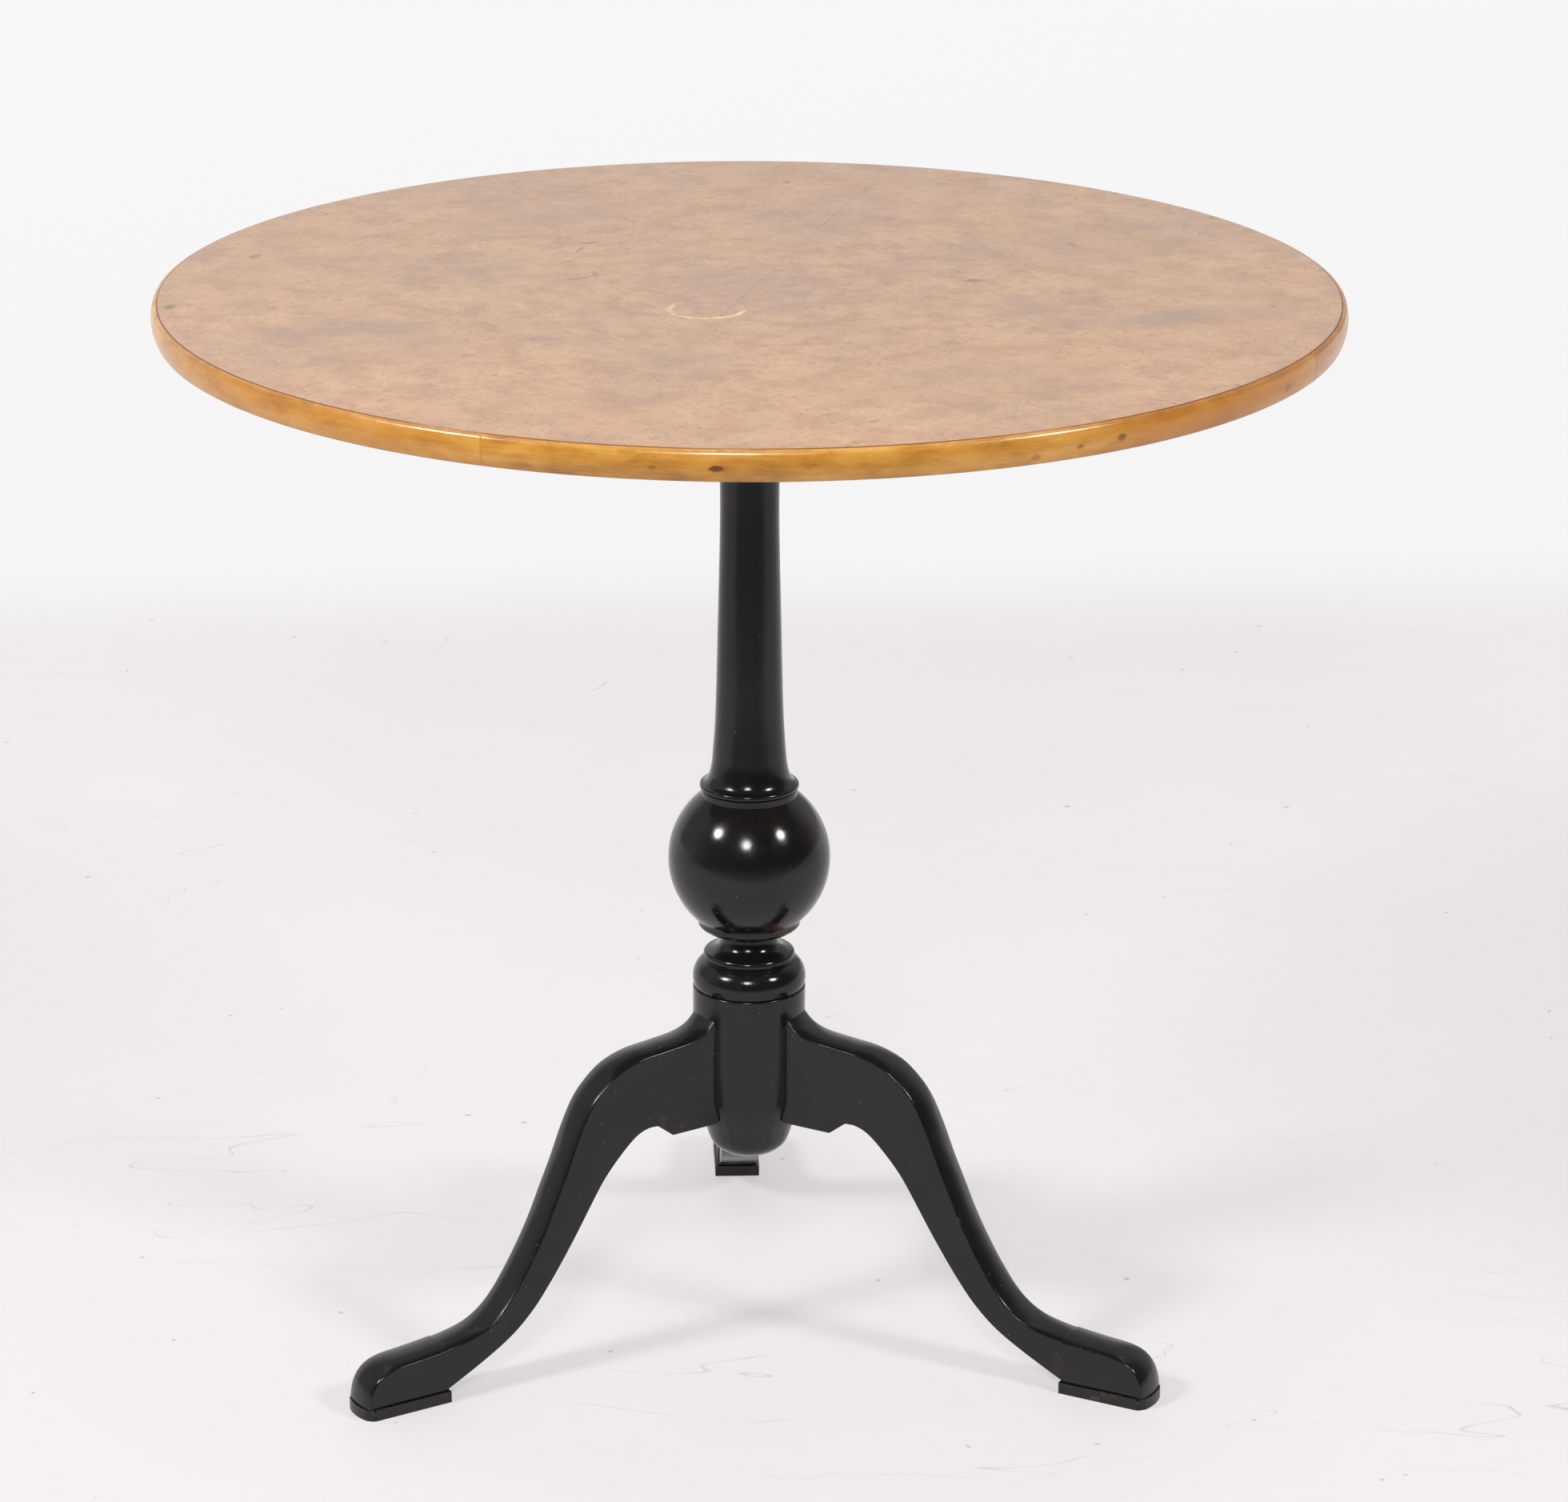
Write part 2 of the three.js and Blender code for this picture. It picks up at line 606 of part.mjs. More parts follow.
// The whole leg or foot as slices side by side, with the outer face arched across the thickness.
function slicedLeg(halfThickness, slices = 4) {
  const offsets = Array.from({ length: slices + 1 }, (_, i) => halfThickness * ((2 * i) / slices - 1));
  const outlines = offsets.map((offset) => {
    const rise = LEG_CROWN_RISE * (1 - (offset / halfThickness) ** 2);
    return legSlice(rise);
  });
  const count = outlines[0].length;
  const positions = outlines.flatMap((outline, i) =>
    outline.flatMap((point) => [point.x, offsets[i], point.y]),
  );
  const index = [];
  for (let i = 0; i < slices; i += 1) {
    for (let j = 0; j < count; j += 1) {
      const a = i * count + j;
      const b = i * count + ((j + 1) % count);
      index.push(a, a + count, b, b, a + count, b + count);
    }
  }
  const last = slices * count;
  for (const [a, b, c] of THREE.ShapeUtils.triangulateShape(outlines[0], [])) {
    index.push(a, b, c);
  }
  for (const [a, b, c] of THREE.ShapeUtils.triangulateShape(outlines[slices], [])) {
    index.push(last + a, last + c, last + b);
  }
  const geometry = new THREE.BufferGeometry();
  geometry.setAttribute("position", new THREE.Float32BufferAttribute(positions, 3));
  geometry.setIndex(index);
  return geometry;
}

const bradPlaces = () => [PAD_START + BRAD.inset, PAD_TOE - BRAD.inset];

function legGeometry() {
  const shank = toSolid(slicedLeg(LEG_HALF_THICKNESS));
  const footRegion = toSolid(box(FOOT_START, FOOT_TOE + 10, -20, 20, 0, 60));
  const foot = toSolid(slicedLeg(FOOT_HALF_THICKNESS)).intersect(footRegion);
  const hubRoom = turned(hubProfile(GAP));
  const bradHoles = bradPlaces().map((radius) =>
    rod(BRAD.radius + GAP, PAD_HEIGHT, BRAD.sunk + BRAD.length + 1, 12).translate(radius, 0, 0),
  );
  const holes = dowelRods(DOWEL.radius + GAP, HUB_RADIUS - 6, DOWEL.outer + GAP);
  return cut(toGeometry(shank.add(foot)), hubRoom, ...holes, ...bradHoles);
}

// The sole pad: straight sides, a bowed toe, and two countersunk nail holes from below.
function padGeometry() {
  const outline = new THREE.Shape();
  outline.moveTo(PAD_START, -PAD_HALF_WIDTH);
  outline.lineTo(PAD_TOE, -PAD_HALF_WIDTH);
  outline.quadraticCurveTo(PAD_TOE + 2 * PAD_BOW, 0, PAD_TOE, PAD_HALF_WIDTH);
  outline.lineTo(PAD_START, PAD_HALF_WIDTH);
  outline.closePath();
  const pad = new THREE.ExtrudeGeometry(outline, { depth: PAD_HEIGHT, bevelEnabled: false, curveSegments: 8 });
  const holes = bradPlaces().flatMap((radius) => [
    rod(BRAD.radius + GAP, -1, PAD_HEIGHT + 1, 12).translate(radius, 0, 0),
    rod(BRAD.head + GAP, -1, BRAD.sunk + BRAD.headHeight + GAP, 12).translate(radius, 0, 0),
  ]);
  return cut(pad, ...holes);
}

function makeLegs() {
  const brad = { shank: BRAD.radius, head: BRAD.head, headHeight: BRAD.headHeight };
  for (const [name, angle] of Object.entries(LEG_ANGLES)) {
    addMesh(`leg_${name}`, "ebonised", toLeg(legGeometry(), angle));
    addMesh(`sole_pad_${name}`, "ebonised", toLeg(padGeometry(), angle));
    const dowels = dowelRods(DOWEL.radius, DOWEL.inner, DOWEL.outer);
    dowels.forEach((dowel, i) => addMesh(`leg_dowel_${name}_${i + 1}`, "innerWood", toLeg(dowel, angle)));
    bradPlaces().forEach((radius, i) => {
      const nail = screw(brad, BRAD.length).translate(radius, 0, BRAD.sunk);
      addMesh(`sole_brad_${name}_${i + 1}`, "iron", toLeg(nail, angle));
    });
  }
}

// Catch

const catchScrewPlaces = () => {
  const x = PLATE_HALF_WIDTH - 4.5;
  return [PLATE_START_Y + 6, PLATE_START_Y + PLATE_LENGTH - 6].flatMap((y) => [[-x, y], [x, y]]);
};

const keeperScrewPlaces = () => [-1, 1].map((side) => [side * (KEEPER.halfWidth - 4.5), CATCH_Z]);

function makeCatch() {
  const plateTop = TOP_UNDERSIDE - GAP;
  const plateBottom = plateTop - PLATE_THICKNESS;
  const houseBottom = CATCH_Z - BOLT_HALF_HEIGHT - GAP - 2.4;
  const houseHalfWidth = BOLT_HALF_WIDTH + GAP + 2.4;
  const plateEnd = PLATE_START_Y + PLATE_LENGTH;
  const screwX = PLATE_HALF_WIDTH;
  const plate = join(
    box(-screwX, screwX, PLATE_START_Y, plateEnd, plateBottom, plateTop),
    box(-houseHalfWidth, houseHalfWidth, PLATE_START_Y, PLATE_START_Y + 13, houseBottom, plateTop - 0.2),
    box(-houseHalfWidth, houseHalfWidth, plateEnd - 11, plateEnd, houseBottom, plateTop - 0.2),
  );
  const channel = box(
    -BOLT_HALF_WIDTH - GAP,
    BOLT_HALF_WIDTH + GAP,
    PLATE_START_Y - 1,
    plateEnd + 1,
    CATCH_Z - BOLT_HALF_HEIGHT - GAP,
    CATCH_Z + BOLT_HALF_HEIGHT + GAP,
  );
  const holes = catchScrewPlaces().map(([x, y]) =>
    rod(CATCH_SCREW.shank + GAP, plateBottom - 1, plateTop + 1, 12).translate(x, y, 0),
  );
  addMesh("catch_plate", "brass", cut(plate, channel, ...holes));

  const boltEnd = BOLT_TIP_Y + BOLT_LENGTH;
  const outline = new THREE.Shape();
  outline.moveTo(BOLT_TIP_Y, CATCH_Z - BOLT_HALF_HEIGHT + 1.2);
  outline.lineTo(BOLT_TIP_Y + 3, CATCH_Z - BOLT_HALF_HEIGHT);
  outline.lineTo(boltEnd, CATCH_Z - BOLT_HALF_HEIGHT);
  outline.lineTo(boltEnd, CATCH_Z + BOLT_HALF_HEIGHT);
  outline.lineTo(BOLT_TIP_Y + 3, CATCH_Z + BOLT_HALF_HEIGHT);
  outline.lineTo(BOLT_TIP_Y, CATCH_Z + BOLT_HALF_HEIGHT - 1.2);
  outline.closePath();
  const bar = sideBoard(outline, -BOLT_HALF_WIDTH, BOLT_HALF_WIDTH);
  const knobTop = CATCH_Z - BOLT_HALF_HEIGHT + 1;
  const knob = turned(
    [
      [0, knobTop - 16],
      [3.4, knobTop - 15.4],
      [5, knobTop - 13],
      [5, knobTop - 10.6],
      [3.2, knobTop - 8],
      [2.4, knobTop - 5],
      [2.6, knobTop],
      [0, knobTop],
    ],
    20,
  ).translate(0, PLATE_START_Y + PLATE_LENGTH / 2 + 1 + CATCH_TRAVEL / 2, 0);
  addMesh("catch_bolt", "brass", join(bar, knob));

  catchScrewPlaces().forEach(([x, y], i) => {
    const length = CATCH_SCREW.bite + GAP + PLATE_THICKNESS;
    const place = [x, y, plateBottom - CATCH_SCREW.headHeight - 0.2];
    const piece = screw(CATCH_SCREW, length + CATCH_SCREW.headHeight - 1).translate(...place);
    addMesh(`catch_screw_${i + 1}`, "brass", piece);
  });
}

function makeKeeper() {
  const front = BLOCK_HALF_DEPTH + GAP;
  const back = front + KEEPER.thickness;
  const plate = box(
    -KEEPER.halfWidth,
    KEEPER.halfWidth,
    front,
    back,
    CATCH_Z - KEEPER.halfHeight,
    CATCH_Z + KEEPER.halfHeight,
  );
  const opening = box(
    -BOLT_HALF_WIDTH - KEEPER.boltPlay,
    BOLT_HALF_WIDTH + KEEPER.boltPlay,
    front - 1,
    back + 1,
    CATCH_Z - BOLT_HALF_HEIGHT - KEEPER.boltPlay,
    CATCH_Z + BOLT_HALF_HEIGHT + KEEPER.boltPlay,
  );
  const holes = keeperScrewPlaces().map(([x, z]) =>
    rod(CATCH_SCREW.shank + GAP, -3, 3, 12).rotateX(-Math.PI / 2).translate(x, front, z),
  );
  addMesh("keeper_plate", "brass", cut(plate, opening, ...holes));
  keeperScrewPlaces().forEach(([x, z], i) => {
    const piece = screw(CATCH_SCREW, CATCH_SCREW.bite).rotateX(Math.PI / 2);
    addMesh(`keeper_screw_${i + 1}`, "brass", piece.translate(x, back + CATCH_SCREW.headHeight + 0.2, z));
  });
}

makeVeneer();
makeCore();
makeEdging();
makeBattens();
makeBlock();
makeShaft();
makeBallSection();
makeHub();
makeLegs();
makeCatch();
makeKeeper();

export default group;
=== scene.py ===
"""Looks of a tilt top table: a round burr veneered top on a turned and ebonised tripod.

Lengths in the table's classes are millimetres, and they are brought to metres as a mesh is made. The studio's
are metres. The origin is on the floor under the column's axis, +Z is up, and the viewer stands on the -Y side.
Profiles of turned and sawn pieces are drawn in a half plane: first the distance from the column's axis, then
the height.
"""

import functools
import json
import logging
import math
from collections.abc import Callable, Sequence
from dataclasses import dataclass
from enum import Enum

import bmesh
import bpy
import numpy as np
from mathutils import Matrix, Vector

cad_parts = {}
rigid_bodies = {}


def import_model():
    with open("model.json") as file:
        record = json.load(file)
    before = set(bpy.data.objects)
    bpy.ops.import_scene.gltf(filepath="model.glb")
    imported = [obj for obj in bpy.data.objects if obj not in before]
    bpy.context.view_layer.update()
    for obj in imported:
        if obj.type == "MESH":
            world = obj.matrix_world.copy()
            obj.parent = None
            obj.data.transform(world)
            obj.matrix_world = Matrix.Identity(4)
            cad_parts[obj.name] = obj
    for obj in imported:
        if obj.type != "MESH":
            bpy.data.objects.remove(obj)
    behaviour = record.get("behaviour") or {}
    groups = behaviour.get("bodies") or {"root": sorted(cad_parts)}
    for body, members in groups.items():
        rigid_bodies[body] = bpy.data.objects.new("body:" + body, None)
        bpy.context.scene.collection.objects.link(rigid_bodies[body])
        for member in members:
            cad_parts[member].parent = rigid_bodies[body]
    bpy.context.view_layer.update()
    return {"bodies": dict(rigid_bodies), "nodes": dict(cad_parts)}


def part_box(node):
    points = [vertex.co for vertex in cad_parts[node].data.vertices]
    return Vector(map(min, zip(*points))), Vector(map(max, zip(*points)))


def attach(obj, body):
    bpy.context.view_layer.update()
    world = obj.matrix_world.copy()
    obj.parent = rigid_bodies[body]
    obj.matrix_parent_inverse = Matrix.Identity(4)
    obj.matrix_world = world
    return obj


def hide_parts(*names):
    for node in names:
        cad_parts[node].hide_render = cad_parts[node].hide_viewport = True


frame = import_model()

MM = 0.001
WELD = 1e-6
GRAIN = "grain"
WEAR = "wear"
SLICE = "slice"
PATTERN_UV = "pattern"
SMOOTH_BELOW = math.radians(34)
SHARP_ABOVE = math.radians(40)
LEAST_TURN = 20.0  # degrees that a profile's corner turns before it is rounded
FULL_BEND = 650.0  # of a wholly worn arris, in 1 per metre

Array = np.ndarray
Socket = bpy.types.NodeSocket
Colour = tuple[float, float, float]
Triple = tuple[float, float, float]

logging.basicConfig(level=logging.INFO, format="%(message)s")
log = logging.getLogger("tilt_top_table")


# Shapes as arrays


def spline_at(points: Sequence[Sequence[float]] | Array, places: Array) -> Array:
    """Points of a Catmull-Rom spline: each span is the cubic through its two ends whose slopes are half the
    chords of their neighbours.

    Args:
        points: the points that the spline goes through.
        places: where to read it, counted in points from 0.

    Returns:
        One point for each place.
    """
    p = np.asarray(points, float)
    i = np.clip(places.astype(int), 0, len(p) - 2)
    t = (places - i)[:, None]
    a, b, c, d = p[np.maximum(i - 1, 0)], p[i], p[i + 1], p[np.minimum(i + 2, len(p) - 1)]
    return 0.5 * (2 * b + (c - a) * t + (2 * a - 5 * b + 4 * c - d) * t**2 + (3 * b - a - 3 * c + d) * t**3)


def spline(points: Sequence[Sequence[float]], count: int) -> Array:
    """The whole spline through some points, read at evenly counted places."""
    return spline_at(points, np.linspace(0, len(points) - 1, count))


def bezier_at(points: Sequence[Sequence[float]], t: Array) -> Array:
    """Points of a Bezier curve: the control points weighed by the Bernstein polynomials of t.

    Args:
        points: the control points.
        t: where to read it, as a column of numbers from 0 to 1.

    Returns:
        One point for each place.
    """
    degree = len(points) - 1
    order = np.arange(degree + 1)
    ways = np.array([math.comb(degree, k) for k in order])
    return (ways * t**order * (1 - t) ** (degree - order)) @ np.asarray(points, float)


def bezier(points: Sequence[Sequence[float]], count: int) -> Array:
    """The whole Bezier curve of some control points, read at evenly counted places."""
    return bezier_at(points, np.linspace(0, 1, count)[:, None])


def unit(vectors: Array) -> Array:
    """The vectors divided by their lengths, and zero where a length is zero."""
    return vectors / np.maximum(np.linalg.norm(vectors, axis=-1, keepdims=True), 1e-12)


def eased(profile: Array, radius: float, steps: int = 5) -> Array:
    """Rounds the corners of a profile: a corner that turns enough is cut back by the radius on both sides
    and bridged by the parabola whose middle control point is the corner.

    Args:
        profile: points of the open profile.
        radius: how far a corner is cut back, at most 0.45 of its shorter side.
        steps: points on each rounding.

    Returns:
        The rounded profile.
    """
    before = np.diff(profile, axis=0, prepend=profile[:1])
    after = np.diff(profile, axis=0, append=profile[-1:])
    turn = np.degrees(np.arccos(np.clip((unit(before) * unit(after)).sum(1), -1, 1)))
    inner = (np.linalg.norm(before, axis=1) > 0) & (np.linalg.norm(after, axis=1) > 0)
    shorter = 0.45 * np.minimum(np.linalg.norm(before, axis=1), np.linalg.norm(after, axis=1))
    cut = np.where(inner & (turn > LEAST_TURN), np.minimum(radius, shorter), 0)[:, None]
    start, end = profile - unit(before) * cut, profile + unit(after) * cut
    t = np.linspace(0, 1, steps)[None, :, None]
    arcs = (1 - t) ** 2 * start[:, None] + 2 * t * (1 - t) * profile[:, None] + t**2 * end[:, None]
    flat = arcs.reshape(-1, 2)
    keep = np.linalg.norm(np.diff(flat, axis=0, prepend=flat[:1] - 1), axis=1) > 1e-5
    return flat[keep]


def turned_rings(profile: Array, segments: int) -> Array:
    """A profile carried round the column's axis: radius times cosine and sine of the angle, height unchanged.

    Args:
        profile: radius and height of each point, from one end of the axis to the other.
        segments: how many times the profile stands round the axis.

    Returns:
        An array of segments by profile points by 3.
    """
    angle = np.linspace(0, 2 * math.pi, segments, endpoint=False)[:, None]
    radius, height = profile[None, :, 0], profile[None, :, 1]
    return np.stack(np.broadcast_arrays(radius * np.cos(angle), radius * np.sin(angle), height), axis=-1)


def skin(rings: Array, ring_closed: bool, path_closed: bool) -> tuple[Array, list[list[int]]]:
    """Quads between neighbouring rings of points, and flat caps on the end rings of an open path.

    Args:
        rings: an array of rings by points by 3.
        ring_closed: whether each ring's last point joins its first.
        path_closed: whether the last ring joins the first.

    Returns:
        The points, and the faces as lists of point numbers.
    """
    count, size = rings.shape[:2]
    ids = np.arange(count * size).reshape(count, size)
    caps = [] if path_closed else [ids[0, ::-1].tolist(), ids[-1].tolist()]
    if path_closed:
        ids = np.vstack([ids, ids[:1]])
    if ring_closed:
        ids = np.hstack([ids, ids[:, :1]])
    quads = np.stack([ids[:-1, :-1], ids[1:, :-1], ids[1:, 1:], ids[:-1, 1:]], axis=-1)
    return rings.reshape(-1, 3), quads.reshape(-1, 4).tolist() + caps


# Meshes and pieces


def read(items: bpy.types.bpy_prop_collection, name: str, width: int, kind: type = np.float32) -> Array:
    """One attribute of a mesh's vertices, edges, loops or faces as rows of an array."""
    values = np.empty(len(items) * width, kind)
    items.foreach_get(name, values)
    return values.reshape(-1, width)


def mark(mesh: bpy.types.Mesh, name: str, values: Array) -> None:
    """Stores numbers or vectors on the mesh's points as a named attribute."""
    vector = values.ndim == 2
    layer = mesh.attributes.new(name, "FLOAT_VECTOR" if vector else "FLOAT", "POINT")
    layer.data.foreach_set("vector" if vector else "value", values.astype(np.float32).ravel())


def mark_wear(mesh: bpy.types.Mesh) -> None:
    """Marks where a hand or a foot would rub the mesh. The bend of an edge is the change of normal along it,
    dotted with the edge, over its length squared. A point takes its most bent edge, over the bend of a wholly
    worn arris.

    Args:
        mesh: a finished mesh in metres.
    """
    points, normals = read(mesh.vertices, "co", 3), read(mesh.vertex_normals, "vector", 3)
    first, second = read(mesh.edges, "vertices", 2, np.int32).T
    step, turn = points[second] - points[first], normals[second] - normals[first]
    bend = (turn * step).sum(1) / np.maximum((step**2).sum(1), 1e-12)
    most = np.zeros(len(points))
    np.maximum.at(most, first, bend)
    np.maximum.at(most, second, bend)
    mark(mesh, WEAR, np.clip(most / FULL_BEND, 0, 1))


def mark_grain(mesh: bpy.types.Mesh, along: Triple) -> None:
    """Stores each point's place in the wood: two directions across the grain, then the one along it.

    Args:
        mesh: a finished mesh in metres.
        along: the direction of the grain.
    """
    third = unit(np.asarray(along, float))
    helper = np.eye(3)[int(np.argmin(np.abs(third)))]
    first = unit(np.cross(helper, third))
    axes = np.stack([first, np.cross(third, first), third])
    mark(mesh, GRAIN, read(mesh.vertices, "co", 3) @ axes.T)


def weigh_normals(mesh: bpy.types.Mesh) -> None:
    """Gives each point the mean normal of its faces weighed by their area, so that flat faces stay flat."""
    weighed = read(mesh.polygons, "normal", 3) * read(mesh.polygons, "area", 1)
    corners = read(mesh.loops, "vertex_index", 1, np.int32)[:, 0]
    sizes = read(mesh.polygons, "loop_total", 1, np.int32)[:, 0]
    total = np.zeros((len(mesh.vertices), 3))
    np.add.at(total, corners, np.repeat(weighed, sizes, axis=0))
    mesh.normals_split_custom_set_from_vertices(unit(total).tolist())


def close_up(work: bmesh.types.BMesh, name: str) -> bpy.types.Mesh:
    """Welds the bmesh's doubles, turns its faces outwards and returns it as a smooth mesh."""
    bmesh.ops.remove_doubles(work, verts=work.verts, dist=WELD)
    bmesh.ops.recalc_face_normals(work, faces=work.faces)
    mesh = bpy.data.meshes.new(name)
    work.to_mesh(mesh)
    work.free()
    mesh.shade_smooth()
    return mesh


def shell(
    name: str, rings: Array, ring_closed: bool = True, path_closed: bool = False, pattern: Array | None = None
) -> bpy.types.Mesh:
    """A closed mesh skinned over rings of points in millimetres.

    Args:
        name: the mesh's name.
        rings: an array of rings by points by 3.
        ring_closed: whether each ring's last point joins its first.
        path_closed: whether the last ring joins the first.
        pattern: for each ring's points, the two pattern coordinates to keep as the UV map.

    Returns:
        The mesh, in metres.
    """
    points, faces = skin(rings, ring_closed, path_closed)
    rough = bpy.data.meshes.new(f"{name}_rough")
    rough.from_pydata((points * MM).tolist(), [], faces)
    if pattern is not None:
        layer = rough.uv_layers.new(name=PATTERN_UV)
        corners = read(rough.loops, "vertex_index", 1, np.int32)[:, 0]
        layer.data.foreach_set("uv", pattern.reshape(-1, 2)[corners].astype(np.float32).ravel())
    work = bmesh.new()
    work.from_mesh(rough)
    bpy.data.meshes.remove(rough)
    mesh = close_up(work, name)
    mesh.set_sharp_from_angle(angle=SMOOTH_BELOW)
    return mesh


def eased_copy(
    node: str, name: str, width: float, steps: int = 3, shape: Callable[[bmesh.types.BMesh], None] | None = None
) -> bpy.types.Mesh:
    """A CAD node's shape with its flat faces joined up and its sharp arrises eased.

    Args:
        node: the CAD node to copy.
        name: the new mesh's name.
        width: how far each arris is cut back, in millimetres.
        steps: faces across each eased arris.
        shape: what else is done to the copy before its arrises are eased.

    Returns:
        The mesh, in metres.
    """
    work = bmesh.new()
    work.from_mesh(frame["nodes"][node].data)
    bmesh.ops.remove_doubles(work, verts=work.verts, dist=WELD)
    bmesh.ops.dissolve_limit(work, angle_limit=math.radians(1), verts=work.verts, edges=work.edges)
    if shape:
        shape(work)
    sharp = [edge for edge in work.edges if edge.calc_face_angle(0.0) > SHARP_ABOVE]
    bmesh.ops.bevel(
        work, geom=sharp, offset=width * MM, offset_type="OFFSET", segments=steps, profile=0.5,
        affect="EDGES", clamp_overlap=True,
    )
    mesh = close_up(work, name)
    weigh_normals(mesh)
    return mesh


class Slot(Enum):
    """The record's material slots."""

    BURR = "burr_veneer"
    BIRCH = "birch_edging"
    PINE = "pine"
    EBONISED = "ebonised_wood"
    INNER = "inner_wood"
    BRASS = "brass"
    IRON = "iron"


def body_of(node: str) -> str:
    """The name of the CAD body that a node belongs to."""
    parent = frame["nodes"][node].parent
    return next(name for name, body in frame["bodies"].items() if body is parent)


def box_mm(node: str) -> tuple[Array, Array]:
    """A CAD node's lowest and highest corners in millimetres."""
    low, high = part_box(node)
    return np.array(low) / MM, np.array(high) / MM


def place(mesh: bpy.types.Mesh, node: str, finish: "Finish") -> None:
    """Puts a mesh in the scene in place of its CAD node, riding on the node's body.

    Args:
        mesh: the finished mesh, whose name becomes the piece's.
        node: the CAD node that it stands for.
        finish: its finish.
    """
    piece = bpy.data.objects.new(mesh.name, mesh)
    bpy.context.scene.collection.objects.link(piece)
    mesh.materials.clear()
    mesh.materials.append(finish.material)
    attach(piece, body_of(node))
    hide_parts(node)
    log.info("%s: %d points for %s", piece.name, len(mesh.vertices), node)


def fit(
    node: str, name: str, finish: "Finish", width: float, steps: int = 3, grain: Triple | None = None,
    worn: bool = False, shape: Callable[[bmesh.types.BMesh], None] | None = None,
) -> None:
    """Puts an eased copy of a CAD node in its place.

    Args:
        node: the CAD node.
        name: the piece's name.
        finish: its finish.
        width: how far each arris is cut back, in millimetres.
        steps: faces across each eased arris.
        grain: the direction of the grain, where the finish has one.
        worn: whether its arrises are rubbed.
        shape: what else is done to the copy before its arrises are eased.
    """
    mesh = eased_copy(node, name, width, steps, shape)
    if grain:
        mark_grain(mesh, grain)
    if worn:
        mark_wear(mesh)
    place(mesh, node, finish)


# Material recipes


